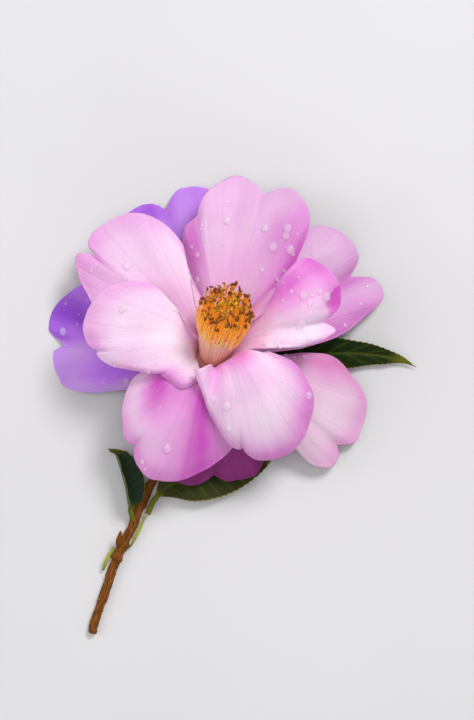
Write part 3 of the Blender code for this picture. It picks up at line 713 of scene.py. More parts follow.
@dataclass
class Petal:
    """One petal: a fan of curved rays from its claw on the receptacle to its margin.

    The margin runs counter-clockwise from one shoulder round the tip to the other. A notch is (position
    counted in margin points, depth, width). A dent is (ray from -1 to 1, its width, place along the ray, its
    width, lift), and a colour spot is the same with an amount of colour for the lift: the petal's deeper
    pink, painted shade in folds and under neighbours, and painted light where the amount is below 0.
    """

    name: str
    node: str
    kind: PetalKind
    ring: int
    azimuth: float
    half_claw: float
    margin: list[Point]
    lean: float
    rise: float
    droop: tuple[float, float]
    hug: float = 0.55
    notches: list[tuple[float, float, float]] = field(default_factory=list)
    dents: list[tuple[float, float, float, float, float]] = field(default_factory=list)
    crease: list[tuple[float, float]] = field(default_factory=list)
    crease_lift: float = 0.0
    cup: list[tuple[float, float]] = field(default_factory=list)
    cup_depth: float = 0.0
    # painted shade on the part of the petal between its claw and its fold
    near: float = 0.0
    # colour spots: the petal's deeper pink, painted shade in folds and under neighbours, and painted light
    # where the amount is below 0
    shade_and_pink_spots: list[tuple[float, float, float, float, float]] = field(default_factory=list)
    # the petal's level of pink, partly its own tone and partly painted shade
    pink_and_shade: float = 0.2
    ruffle: float = 0.55
    roll: float = 0.7
    seed: int = 1

    RAYS = 92
    STEPS = 64
    CREASE_WIDTH = 0.16
    NOTCH_FROM = 0.62
    UPRIGHT = 1.2
    INNER_RING_RADIUS = 5.2
    RING_PITCH = 0.9
    SEAT_LIFT = 0.9
    ROOT_THICKNESS = 0.6
    THICKNESS = 0.62
    RIM_THICKNESS = 0.26

    def pull(self, knots: Array, rim: Array) -> Array:
        """How far each ray's end is drawn towards the claw: in the notches, and a little uneven elsewhere.

        Args:
            knots: positions along the margin.
            rim: the margin's points.
        Returns:
            A length for each ray.
        """
        share = knots / (len(self.margin) - 1)
        drawn = 0.3 * waver(share, self.seed + 40, 5, 4) * np.sin(np.pi * share)
        for at, depth, width in self.notches:
            drawn = drawn + depth * np.exp(-np.linalg.norm(rim - spline(self.margin, [at]), axis=1) / width)
        return drawn

    def surface(self, place: Standpoint) -> tuple[Array, Array, Array]:
        """The petal's middle surface.

        Args:
            place: the flower's place.
        Returns:
            The grid of points, the ray number of each row and the place along the ray of each column.
        """
        knots = evenly_along(self.margin, self.RAYS + 1)
        for at, _, _ in self.notches:
            knots[np.argmin(np.abs(knots - at))] = at
        q = 2 * knots / (len(self.margin) - 1) - 1
        radius = self.INNER_RING_RADIUS + self.ring * self.RING_PITCH
        out = place.out(np.radians(self.azimuth + q * self.half_claw))
        axis = place.axes[:, 2]
        seat = self.INNER_RING_RADIUS - radius + self.SEAT_LIFT
        roots = place.seated([0, 0, seat]) + out * radius
        rim = spline(self.margin, knots)
        reach = np.linalg.norm(rim - roots, axis=1)[:, None]
        lean = math.radians(self.lean)
        leave = axis * math.cos(lean) + out * math.sin(lean)
        flat = unit((rim - roots) * [1, 1, 0])
        slope = np.radians(self.droop[0] + (self.droop[1] - self.droop[0]) * q**2)[:, None]
        arrive = flat * np.cos(slope) - np.array([0, 0, 1.0]) * np.sin(slope)
        first = roots + leave * np.minimum(self.rise, self.hug * reach)
        second = rim - arrive * 0.36 * reach
        t = np.linspace(0, 1, self.STEPS + 1)
        weights = np.stack([(1 - t) ** 3, 3 * t * (1 - t) ** 2, 3 * t**2 * (1 - t), t**3])
        grid = np.einsum("kt,kqx->qtx", weights, np.stack([roots, first, second, rim]))
        ends = (self.pull(knots, rim)[:, None] * unit(rim - roots))[:, None]
        grid = grid - ends * (smooth_step((t - self.NOTCH_FROM) / (1 - self.NOTCH_FROM)) ** 1.5)[None, :,
            None]
        for ray, ray_width, spot, spot_width, lift in self.dents:
            grid[..., 2] += lift * bell(q[:, None], ray, ray_width) * bell(t[None], spot,
                spot_width) * smooth_step(t * 4)[None]
        if self.crease:
            fold = self.fold(q)
            grid[..., 2] += self.crease_lift * bell(t[None], fold,
                self.CREASE_WIDTH) * smooth_step(t * 4)[None]
        grid[..., 2] -= self.cup_depth * self.cupped(q, t) * (1 - smooth_step((t[None] - 0.86) / 0.16))
        return self.living(grid, q, t), q, t

    def cupped(self, q: Array, t: Array) -> Array:
        """1 in the hollow of a tip that curls in on itself, 0 outside its sharp inner edge."""
        if not self.cup:
            return np.zeros((len(q), len(t)))
        edge = np.interp(q, *np.array(self.cup).T, left=2, right=2)[:, None]
        return smooth_step((t[None] - edge) / 0.03)

    def fold(self, q: Array) -> Array:
        """The place along each ray where the petal folds over."""
        return np.interp(q, *np.array(self.crease).T)[:, None]

    def living(self, grid: Array, q: Array, t: Array) -> Array:
        """The unevenness of a real petal: soft ribs, a ruffled margin and an edge that rolls back.

        Args:
            grid: the smooth surface.
            q: the ray number of each row.
            t: the place along the ray of each column.
        Returns:
            The uneven surface.
        """
        normal = unit(np.cross(np.gradient(grid, axis=1), np.gradient(grid, axis=0)))
        normal = unit(normal * np.sign(normal[..., 2].mean()) + [0, 0, self.UPRIGHT])
        share = (q + 1) / 2
        ribs = 0.02 * waver(share, self.seed, 6, 4)[:, None] * (smooth_step(t * 2) * (1 - 0.4 * t))[None]
        ruffle = self.ruffle * waver(share, self.seed + 7, 3.2, 3)[:,
            None] * smooth_step((t - 0.5) / 0.5)[None]
        puckers = 0.02 * waver(share, self.seed + 19, 17, 3)[:, None] * smooth_step((t - 0.35) / 0.5)[None]
        pillow = 0.22 * lumps(grid, self.seed + 3, 13.0) * smooth_step(t * 2)[None]
        rolled = -self.roll * smooth_step((t - 0.8) / 0.2)[None] ** 2
        uneven = grid + normal * (ribs + ruffle + puckers + pillow)[..., None]
        uneven[..., 2] += rolled
        return uneven

    def pinkness_and_shade(self, grid: Array, q: Array, t: Array) -> Array:
        """How deep the pink is at each point: the petal's own pink, with painted shade at the claw, in folds
        and under neighbours.

        Args:
            grid: the surface.
            q: the ray number of each row.
            t: the place along the ray of each column.
        Returns:
            0 for palest to 1 for deepest.
        """
        # deeper towards the claw as painted shade, and a little deeper at the margin
        pink_and_shade = self.pink_and_shade + 0.26 * (1 - smooth_step(t * 2.6))[None] + 0.1 * smooth_step((t - 0.86)
            / 0.14)[None]
        pink_and_shade = pink_and_shade + 0.08 * lumps(grid, self.seed + 60, 17.0) + 0.02 * waver((q + 1) / 2, self.seed + 5,
            8, 3)[:, None]
        # spots of colour: the petal's deeper pink, painted shade in folds and under neighbours, and painted
        # light where the amount is below 0
        for ray, ray_width, spot, spot_width, amount in self.shade_and_pink_spots:
            pink_and_shade = pink_and_shade + amount * bell(q[:, None], ray, ray_width) * bell(t[None], spot, spot_width)
        # painted shade between the claw and the fold
        if self.crease:
            pink_and_shade = pink_and_shade + self.near * (1 - smooth_step((t[None] - self.fold(q) + 0.12) / 0.14))
        # the hollow of a curled tip is painted deeper: its deeper pink together with painted shade
        return np.clip(pink_and_shade + 0.34 * self.cupped(q, t), 0, 1)

    def build(self, place: Standpoint, tones: PetalTones) -> tuple[bpy.types.Object, Array]:
        """Makes the petal.

        Args:
            place: the flower's place.
            tones: the petals' materials.
        Returns:
            The piece, and its middle surface in the model's frame.
        """
        grid, q, t = self.surface(place)
        thickness = self.ROOT_THICKNESS + (self.THICKNESS - self.ROOT_THICKNESS) * smooth_step(t * 3)
        thickness = thickness + (self.RIM_THICKNESS - self.THICKNESS) * smooth_step(t * 1.5 - 0.5)
        patterns = {"ray": q[:, None], "along": t[None], "pink_and_shade": self.pinkness_and_shade(grid, q, t)}
        grid = grid + place.foot
        shell = sheet_shell(grid, np.broadcast_to(thickness, grid.shape[:2]), patterns)
        piece = shell.piece(self.name, [tones.of(self.kind)])
        return present(piece, "outer_petal" if self.ring == 2 else "inner_petal", self.node), grid


# Each petal's pink level and colour spots hold painted shade in folds and under neighbours, and painted
# light where a spot's amount is below 0.
PETALS = [
    Petal(
        "inner_petal_curled", "petal_curled", PetalKind.ROSE, 0, 25, 36,
        [(15.5, 4.8, 30), (21, 4.2, 30), (29, 4.8, 29.5), (37, 8.5, 29), (35, 12, 29.5), (38.5, 17, 32),
         (37, 24, 33.5), (32, 28.8, 33), (26.5, 29.8, 32), (21, 22, 32), (15, 13.5, 31)],
        lean=14, rise=17, droop=(10, 10),
        notches=[(4, 2, 1.3)],
        dents=[(0.06, 0.2, 0.9, 0.1, -1)],
        crease=[(-1, 0.95), (-0.77, 0.63), (-0.5, 0.45), (0.1, 0.47), (0.3, 0.53), (0.5, 0.72), (0.7, 1),
               (1, 1.1)],
        crease_lift=1.0,
        cup=[(-0.2, 1.04), (-0.15, 0.97), (-0.04, 0.9), (0.03, 0.87), (0.09, 0.875), (0.13, 0.92),
             (0.165, 1.04)],
        cup_depth=2.0,
        shade_and_pink_spots=[(0.45, 0.3, 0.8, 0.4, 0.64), (0.2, 0.25, 0.96, 0.08, 0.14)],
        near=0.05, pink_and_shade=0.12, seed=11,
    ),
    Petal(
        "inner_petal_front", "petal_front", PetalKind.ROSE, 0, 300, 38,
        [(-5.2, -2.8, 33), (-3, -9, 30.5), (-0.5, -16, 27.5), (4.7, -25, 24), (10, -28.3, 22),
         (16, -30.5, 21), (24, -27.7, 22), (29.5, -19, 24), (30, -10, 27), (25, -1, 29.5), (17, 2.5, 31)],
        lean=4, rise=28, droop=(50, 20), hug=0.85,
        notches=[(4, 2.5, 1.4)],
        shade_and_pink_spots=[(0.3, 0.8, 0.24, 0.16, 0.5), (-0.6, 0.25, 0.46, 0.22, 0.2), (0.15, 0.5, 0.88, 0.13, 0.2),
                 (0.75, 0.25, 0.9, 0.35, 0.26), (-0.75, 0.3, 0.6, 0.4, 0.2), (0, 0.9, 1, 0.14, 0.36)],
        pink_and_shade=0.05, seed=12,
    ),
    Petal(
        "inner_petal_left", "petal_left", PetalKind.ROSE, 0, 168, 36,
        [(-6.1, 8.7, 28.6), (-13.4, 19.2, 29), (-20, 23, 28.5), (-30, 22.2, 27.5), (-37, 15.5, 26),
         (-38.3, 8, 25), (-36, 3, 25.5), (-30, -1.7, 26), (-16, -4.6, 28.2), (-9.2, -8.4, 28.8),
         (-3, -5.6, 28.4)],
        lean=10, rise=17, droop=(25, 15), hug=0.42,
        notches=[(6, 2, 1.4), (8, 1.1, 1.2)],
        dents=[(0.1, 0.06, 0.92, 0.14, -0.7)],
        shade_and_pink_spots=[(-0.35, 0.5, 0.95, 0.12, 0.2), (0.1, 0.1, 0.95, 0.12, 0.2),
                 (0.75, 0.25, 0.95, 0.24, 0.55), (0.4, 0.6, 0.26, 0.2, -0.3)],
        pink_and_shade=0.09, seed=13,
    ),
    Petal(
        "inner_petal_top", "petal_top", PetalKind.LILAC_WITH_PAINTED_SHADE, 1, 78, 24,
        [(14, 10, 24), (24, 27, 27), (29.5, 42, 25), (25, 51, 20), (16.5, 52.3, 17), (7.5, 56, 15),
         (-0.8, 51.4, 18), (-3.8, 46.4, 20), (-4.8, 42.9, 20.4), (-8.2, 39.6, 20.2), (-9.2, 31.5, 19.6),
         (-8, 24, 19.6), (-2.5, 10, 20)],
        lean=20, rise=11, droop=(15, 0),
        notches=[(4, 2.5, 1.4)],
        dents=[(0.5, 0.3, 0.74, 0.28, -1.1), (-0.81, 0.12, 0.85, 0.28, -2.2)],
        shade_and_pink_spots=[(0.42, 0.16, 0.84, 0.18, 0.42), (0.62, 0.3, 0.7, 0.3, 0.2),
                 (-0.79, 0.15, 0.92, 0.16, 0.42), (-0.88, 0.22, 0.64, 0.3, 0.36),
                 (-0.6, 0.18, 0.76, 0.16, 0.2), (-0.2, 0.4, 0.5, 0.18, 0.14)],
        pink_and_shade=0.19, seed=14,
    ),
    Petal(
        "inner_petal_upper_left", "petal_upper_left", PetalKind.ROSE, 1, 138, 24,
        [(-1.2, 12.4, 23.4), (-3.4, 19.3, 24.4), (-7, 27, 24.6), (-8.8, 35, 23.7), (-16, 42, 22),
         (-26, 44.2, 19.5), (-34.5, 40, 17), (-37.7, 35.7, 17), (-37.2, 33, 17.3), (-40.6, 32.3, 15.6),
         (-41.4, 28.5, 15), (-38.4, 21, 16.5), (-30, 9, 19), (-14, 4, 22)],
        lean=18, rise=13, droop=(20, 5), hug=0.36,
        notches=[(8, 2.8, 1.1)],
        shade_and_pink_spots=[(0.1, 0.5, 0.95, 0.12, 0.16), (0.6, 0.3, 0.9, 0.3, 0.14), (-0.7, 0.2, 1, 0.2, 0.2)],
        pink_and_shade=0.16, seed=15,
    ),
    Petal(
        "inner_petal_lower_left", "petal_lower_left", PetalKind.ROSE, 1, 237, 36,
        [(-12, -3, 24), (-22, -4, 20), (-26.5, -12, 20), (-26.8, -21, 21), (-24.8, -27.5, 20),
         (-20, -34.8, 18), (-12, -37, 17), (-3, -33.6, 18), (5, -28, 19), (10, -19, 21), (8, -9, 23)],
        lean=22, rise=9, droop=(30, 10),
        notches=[(4, 2.5, 1.4)],
        shade_and_pink_spots=[(0.38, 0.22, 0.66, 0.4, 0.6), (-0.55, 0.35, 0.58, 0.18, 0.6),
                 (-0.44, 0.25, 0.9, 0.14, -0.15), (0.1, 0.6, 0.3, 0.2, 0.35),
                 (0.05, 0.6, 0.98, 0.12, 0.24)],
        pink_and_shade=0.24, seed=16,
    ),
    Petal(
        "outer_petal_top", "petal_back_top", PetalKind.LAVENDER, 2, 112, 25,
        [(8, 14, 16), (10, 30, 13), (6, 45, 9), (-1, 52.5, 5), (-9.5, 53, 3), (-15, 48.5, 3),
         (-21.5, 47.8, 3), (-27.5, 43, 5), (-27, 28, 9), (-10, 14, 14)],
        lean=32, rise=9, droop=(20, 10),
        notches=[(5, 2.5, 1.4)],
        shade_and_pink_spots=[(0.3, 0.2, 0.95, 0.1, 0.3)],
        pink_and_shade=0.34, seed=17,
    ),
    Petal(
        "outer_petal_left", "petal_back_left", PetalKind.VIOLET_WITH_PAINTED_LIGHT, 2, 178, 25,
        [(-15, 9, 14), (-28, 22, 9), (-39, 23.5, 5), (-48, 17.5, 2), (-50.5, 10, 1), (-48, 5, 1),
         (-51, 0, 0), (-47, -7.5, 1), (-39, -10, 3), (-27, -9, 7), (-12, -6.5, 13)],
        lean=32, rise=7, droop=(20, 10),
        notches=[(5, 2.5, 1.4)],
        shade_and_pink_spots=[(-0.35, 0.25, 0.9, 0.3, 0.75), (0.43, 0.35, 0.6, 0.25, 0.35),
                 (-0.1, 0.08, 0.95, 0.1, 0.25), (0.45, 0.2, 0.6, 0.2, 0.2)],
        pink_and_shade=0.12, ruffle=0.4, seed=18,
    ),
    Petal(
        "outer_petal_bottom", "petal_back_bottom", PetalKind.MAGENTA_PAINTED_SHADE, 2, 268, 25,
        [(-10, -12.5, 19.5), (-15, -25, 14), (-12.7, -35.5, 10), (-6, -38.3, 8), (0.6, -36.6, 8),
         (7, -37, 8), (13.8, -34.5, 9), (16, -26, 11), (9, -13, 14)],
        lean=36, rise=6, droop=(25, 10),
        notches=[(4, 1.5, 1.2)],
        pink_and_shade=0.35, seed=19,
    ),
    Petal(
        "outer_petal_lower_right", "petal_back_lower_right", PetalKind.BLUSH, 2, 333, 24,
        [(12, -12, 17), (20, -21, 13), (26.3, -28, 9), (31, -32.3, 7), (36.3, -32.8, 5.5), (39.3, -30, 5),
         (39.5, -26.8, 5), (44.5, -24.5, 4), (47.8, -15, 4), (44.5, -7, 6), (36, 1.5, 9), (21, 1.5, 15)],
        lean=32, rise=9, droop=(25, 10),
        notches=[(6, 1.5, 1.4)],
        shade_and_pink_spots=[(0.82, 0.22, 0.82, 0.25, 0.55), (0.3, 0.5, 0.98, 0.06, 0.2),
                 (0.08, 0.25, 0.7, 0.25, -0.15), (-0.25, 0.3, 0.92, 0.12, 0.16),
                 (-0.7, 0.35, 0.75, 0.35, -0.12)],
        pink_and_shade=0.13, seed=20,
    ),
    Petal(
        "outer_petal_right", "petal_back_right", PetalKind.LILAC_WITH_PAINTED_SHADE, 2, 27, 24,
        [(18, 2.5, 18), (31, 4.5, 15), (40, 8, 11), (46.5, 13, 8), (52.5, 19, 4), (50, 25, 3),
         (44.5, 27, 3), (45, 32.5, 5), (40.5, 38.5, 7), (32, 41, 9), (24, 34.5, 11), (12, 14, 16)],
        lean=32, rise=9, droop=(20, 10),
        notches=[(6, 2.5, 1.4)],
        shade_and_pink_spots=[(-0.5, 0.3, 0.8, 0.3, 0.45), (0.05, 0.1, 0.92, 0.12, 0.3)],
        pink_and_shade=0.24, seed=21,
    ),
]


@dataclass
class Corolla:
    """All the petals."""

    petals: list[Petal]
    surfaces: dict[str, Array] = field(default_factory=dict)

    def build(self, place: Standpoint) -> None:
        """Makes every petal and keeps its surface for the dew.

        Args:
            place: the flower's place.
        """
        tones = PetalTones()
        for petal in self.petals:
            _, self.surfaces[petal.name] = petal.build(place, tones)


# ---- repeated small shapes, grown by node trees --------------------------------------------------
def new_growth(name: str, inputs: Sequence[tuple[str, str, Any]]) -> bpy.types.NodeTree:
    """An empty geometry tree.

    Args:
        name: its name.
        inputs: (name, socket type, default value) for each of its sizes.
    Returns:
        The tree, with its group input and output nodes.
    """
    tree = bpy.data.node_groups.new(name, "GeometryNodeTree")
    tree.interface.new_socket("Geometry", in_out="INPUT", socket_type="NodeSocketGeometry")
    for key, kind, value in inputs:
        tree.interface.new_socket(key, in_out="INPUT", socket_type=kind).default_value = value
    tree.interface.new_socket("Geometry", in_out="OUTPUT", socket_type="NodeSocketGeometry")
    add(tree, "NodeGroupInput")
    add(tree, "NodeGroupOutput")
    return tree


def grown(seedbed: bpy.types.Object, tree: bpy.types.NodeTree, sizes: dict[str, Any],
          name: str) -> bpy.types.Object:
    """Runs a geometry tree on a mesh and keeps the result as a plain mesh.

    Args:
        seedbed: the object the tree starts from; it is removed.
        tree: the tree.
        sizes: a value for each named input.
        name: the new piece's name.
    Returns:
        The new piece.
    """
    modifier = seedbed.modifiers.new("growth", "NODES")
    modifier.node_group = tree
    for item in tree.interface.items_tree:
        if item.item_type == "SOCKET" and item.in_out == "INPUT" and item.name in sizes:
            modifier[item.identifier] = sizes[item.name]
    bpy.context.view_layer.update()
    evaluated = seedbed.evaluated_get(bpy.context.evaluated_depsgraph_get())
    mesh = bpy.data.meshes.new_from_object(evaluated, preserve_all_data_layers=True,
        depsgraph=bpy.context.evaluated_depsgraph_get())
    mesh.name = name
    slots = [0] * len(mesh.polygons)
    mesh.polygons.foreach_get("material_index", slots)
    used = [m for m in mesh.materials if m]
    kept = [used.index(m) if m else 0 for m in mesh.materials]
    mesh.materials.clear()
    for material in used:
        mesh.materials.append(material)
    mesh.polygons.foreach_set("material_index", [kept[slot] for slot in slots])
    seedbed.modifiers.remove(modifier)
    bpy.data.objects.remove(seedbed)
    made = bpy.data.objects.new(name, mesh)
    bpy.context.scene.collection.objects.link(made)
    return made


def seedbed_of(name: str, points: Array, edges: Sequence[tuple[int, int]] = (),
               numbers: dict[str, Array] | None = None,
               vectors: dict[str, Array] | None = None) -> bpy.types.Object:
    """Loose points or lines for a tree to start from.

    Args:
        name: a name.
        points: places in millimetres.
        edges: pairs of points that are joined.
        numbers: a number for each point, by name.
        vectors: a vector for each point, by name.
    Returns:
        The object.
    """
    mesh = bpy.data.meshes.new(name)
    mesh.from_pydata((np.asarray(points) * MM).tolist(), [tuple(int(v) for v in e) for e in edges], [])
    for key, values in (numbers or {}).items():
        mesh.attributes.new(key, "FLOAT", "POINT").data.foreach_set("value",
            np.ascontiguousarray(values, np.float32))
    for key, values in (vectors or {}).items():
        mesh.attributes.new(key, "FLOAT_VECTOR", "POINT").data.foreach_set("vector",
            np.ascontiguousarray(values, np.float32).ravel())
    made = bpy.data.objects.new(name, mesh)
    bpy.context.scene.collection.objects.link(made)
    return made


@dataclass
class FilamentGrowth:
    """A tree that turns lines into round filaments and puts a two-lobed anther on each tip."""

    filament: bpy.types.Material
    anther: bpy.types.Material

    def tree(self) -> bpy.types.NodeTree:
        """Builds the tree; its sizes are in metres."""
        tree = new_growth("stamen_growth", [("Filament Radius", "NodeSocketFloat", 0.0002),
            ("Anther Length", "NodeSocketFloat", 0.002)])
        source, sink = tree.nodes["Group Input"], tree.nodes["Group Output"]
        curve = add(tree, "GeometryNodeMeshToCurve", {"Mesh": source.outputs["Geometry"]})
        radius = add(tree, "ShaderNodeMath", {0: source.outputs["Filament Radius"],
            1: add(tree, "GeometryNodeInputNamedAttribute", {"Name": "girth"},
                   data_type="FLOAT").outputs["Attribute"]}, operation="MULTIPLY").outputs[0]
        profile = add(tree, "GeometryNodeCurvePrimitiveCircle", {"Resolution": 6, "Radius": 1.0})
        stems = add(tree, "GeometryNodeCurveToMesh",
                    {"Curve": curve.outputs[0], "Profile Curve": profile.outputs[0], "Scale": radius,
                     "Fill Caps": True})
        dressed = add(tree, "GeometryNodeSetMaterial",
                      {"Geometry": stems.outputs[0], "Material": self.filament})
        lobe = add(tree, "GeometryNodeMeshUVSphere", {"Segments": 8, "Rings": 7, "Radius": 0.5})
        halves = []
        for side in (-1, 1):
            move = add(tree, "GeometryNodeTransform",
                       {"Geometry": lobe.outputs["Mesh"], "Translation": (0.2 * side, 0, 0.1),
                                                       "Rotation": (0, 0.16 * side, 0), "Scale": (0.42,
                                                           0.42, 1.0)})
            halves.append(move.outputs[0])
        pair = add(tree, "GeometryNodeJoinGeometry")
        for half in halves:
            tree.links.new(half, pair.inputs[0])
        tip = add(tree, "FunctionNodeCompare",
                  {0: add(tree, "GeometryNodeInputNamedAttribute", {"Name": "tip"},
                          data_type="FLOAT").outputs["Attribute"], 1: 0.5}, data_type="FLOAT",
                          operation="GREATER_THAN")
        turn = add(tree, "FunctionNodeAlignRotationToVector",
                   {"Vector": add(tree, "GeometryNodeInputNamedAttribute", {"Name": "lean"},
                                  data_type="FLOAT_VECTOR").outputs["Attribute"]}, axis="Z")
        spin = add(tree, "FunctionNodeRotateRotation",
                   {"Rotation": turn.outputs[0], "Rotate By": add(tree, "GeometryNodeInputNamedAttribute",
                       {"Name": "spin"}, data_type="FLOAT_VECTOR").outputs["Attribute"]},
                       rotation_space="LOCAL")
        size = add(tree, "ShaderNodeMath", {0: source.outputs["Anther Length"],
            1: add(tree, "GeometryNodeInputNamedAttribute", {"Name": "bulk"},
                   data_type="FLOAT").outputs["Attribute"]}, operation="MULTIPLY").outputs[0]
        planted = add(tree, "GeometryNodeInstanceOnPoints",
                      {"Points": source.outputs["Geometry"], "Selection": tip.outputs[0],
                       "Instance": pair.outputs[0],
                                                             "Rotation": spin.outputs[0], "Scale": size})
        solid = add(tree, "GeometryNodeRealizeInstances", {"Geometry": planted.outputs[0]})
        painted = add(tree, "GeometryNodeSetMaterial",
                      {"Geometry": solid.outputs[0], "Material": self.anther})
        both = add(tree, "GeometryNodeJoinGeometry")
        for part in (painted, dressed):
            tree.links.new(part.outputs[0], both.inputs[0])
        smooth = add(tree, "GeometryNodeSetShadeSmooth", {"Geometry": both.outputs[0]})
        tree.links.new(smooth.outputs[0], sink.inputs["Geometry"])
        return tree


@dataclass
class Stamens:
    """The fused tube, its free filaments and their anthers."""

    foot_radius: float = 4.2
    rim_radius: float = 6.4
    height: float = 17.0
    wall: float = 0.9
    foot: float = 2.35
    count: int = 150
    reach: float = 29.6
    brush_radius: float = 8.5
    cleft: float = math.radians(262)
    seed: int = 5

    OUTER_SHARE = 0.74

    def rim_height(self, turn: Array) -> Array:
        """How high the tube stands at each azimuth, with its cleft."""
        gap = np.abs((turn - self.cleft + np.pi) % (2 * np.pi) - np.pi)
        return self.height + 0.9 * waver(turn / (2 * np.pi), self.seed, 5, 3) - 0.8 * bell(gap, 0, 0.07)

    def tube(self, place: Standpoint) -> bpy.types.Object:
        """Makes the tube, ribbed where the filaments have grown together."""
        sides, rings = 132, 26
        turn = 2 * np.pi * np.arange(sides) / sides
        top = self.rim_height(turn) * bell(0, 0, 1)
        up = np.linspace(0, 1, rings)
        radius = self.foot_radius + (self.rim_radius - self.foot_radius) * smooth_step(up * 0.9 + 0.1)
        rib = 0.16 * np.cos(33 * turn)[None] * smooth_step(up * 1.5)[:,
            None] + 0.1 * waver(turn / (2 * np.pi), 8, 7, 3)[None]
        heights = self.foot + (top[None] - self.foot) * up[:, None]
        loops = []
        for inset, order in ((0.0, 1), (self.wall, -1)):
            r = radius[:, None] + rib - inset * (1 - 0.55 * up[:, None] ** 3)
            loop = np.stack([r * np.cos(turn), r * np.sin(turn),
                             heights + (0.25 if inset else 0) * up[:, None]], -1)
            loops.append(loop[::order])
        grid = np.concatenate(loops)
        tint = np.concatenate([up, up[::-1] * 0.6])[:, None]
        index = np.arange(len(grid) * sides).reshape(len(grid), sides)
        wrapped = np.concatenate([index, index[:1]])
        following = np.roll(wrapped, -1, axis=1)
        quads = np.stack([wrapped[:-1], following[:-1], following[1:], wrapped[1:]], -1).reshape(-1, 4)
        patterns = {"tint": np.broadcast_to(tint, grid.shape[:2]).ravel()}
        points = place.seated(grid.reshape(-1, 3)) + place.foot
        finish = TissueFinish("stamen_tube", ((0.0, "#EE9A8C"), (0.35, "#F8B4A0"), (0.8, "#FFC2A4"),
            (1.0, "#FFB680")), 0.45, 350.0, 0.4)
        return present(Shell(points, quads.tolist(), patterns).piece("stamen_tube", [finish.make()]),
                       "stamen", "stamens")

    def brush(self, place: Standpoint) -> bpy.types.Object:
        """Makes the filaments and anthers with a node tree."""
        rng = np.random.default_rng(self.seed)
        joints = 10
        u = np.linspace(0, 1, joints)[:, None]
        paths, girths, tips, leans, spins, bulks, tints, dusts, edges = [], [], [], [], [], [], [], [], []
        for k in range(self.count):
            share = math.sqrt((k + 0.5) / self.count)
            turn = k * 2.399963 + rng.normal(0, 0.12)
            gap = (turn - self.cleft + math.pi) % (2 * math.pi) - math.pi
            if abs(gap) < 0.06:
                turn += 0.08 * (1 if gap >= 0 else -1)
            root_radius = self.rim_radius - 0.35 - 2.0 * (1 - share)
            height = float(self.rim_height(np.array(turn))) - 0.8
            # the outermost run down the outside of the tube before they merge with it
            if share > self.OUTER_SHARE:
                height -= rng.uniform(0.0, 3.4)
                root_radius = self.rim_radius - 0.05 * (self.height - height)
            root = np.array([root_radius * math.cos(turn), root_radius * math.sin(turn), height])
            swing = rng.normal(0, 0.1)
            spread = self.brush_radius * share * rng.uniform(0.9, 1.06)
            rise = self.reach - 0.03 * spread**2 + rng.uniform(-2.6,
                1.0) - 4.5 * (share > 0.78) * rng.uniform() ** 1.5
            tip = np.array([spread * math.cos(turn + swing), spread * math.sin(turn + swing), rise])
            middle = (root + tip) / 2 + np.array([math.cos(turn), math.sin(turn),
                0]) * (1.1 * share + rng.uniform(-0.3, 0.5))
            path = root * (1 - u) ** 2 + middle * 2 * u * (1 - u) + tip * u**2
            path = path + rng.normal(0, 0.12, 3) * np.sin(np.pi * u) * 1.5
            first = len(paths) * joints
            paths.append(path)
            edges += [(first + j, first + j + 1) for j in range(joints - 1)]
            girths.append(1.35 - 0.55 * u[:, 0])
            tips.append(np.arange(joints) == joints - 1)
            way = unit(path[-1] - path[-2]) + rng.normal(0, 0.45, 3)
            leans.append(np.tile(place.axes @ unit(way), (joints, 1)))
            spins.append(np.tile([0, 0, rng.uniform(0, 2 * math.pi)], (joints, 1)))
            bulks.append(np.full(joints, rng.uniform(0.8, 1.15)))
            dusts.append(np.full(joints, np.clip(0.75 - 0.6 * share + rng.normal(0, 0.16), 0, 1)))
            tints.append(0.08 + 0.85 * u[:, 0] + rng.uniform(-0.08, 0.12))
        points = place.seated(np.concatenate(paths)) + place.foot
        bed = seedbed_of("stamen_lines", points, edges,
                         {"girth": np.concatenate(girths), "tip": np.concatenate(tips).astype(float),
                          "bulk": np.concatenate(bulks), "tint": np.concatenate(tints),
                          "dust": np.concatenate(dusts)},
                         {"lean": np.concatenate(leans), "spin": np.concatenate(spins)})
        # the filaments glow with painted light
        filament = TissueFinish("filament", ((0.0, "#F6B48E"), (0.25, "#FFC070"), (0.45, "#FFB438"),
            (1.0, "#FFAA1C")), 0.4, 800.0, 0.5, light=0.12)
        anther = AntherFinish()
        tree = FilamentGrowth(filament.make(), anther.make()).tree()
        return present(grown(bed, tree, {"Filament Radius": 0.27 * MM, "Anther Length": 1.5 * MM},
                             "stamen_brush"), "stamen")

    def build(self, place: Standpoint) -> None:
        """Makes the whole brush.

        Args:
            place: the flower's place.
        """
        self.tube(place)
        self.brush(place)


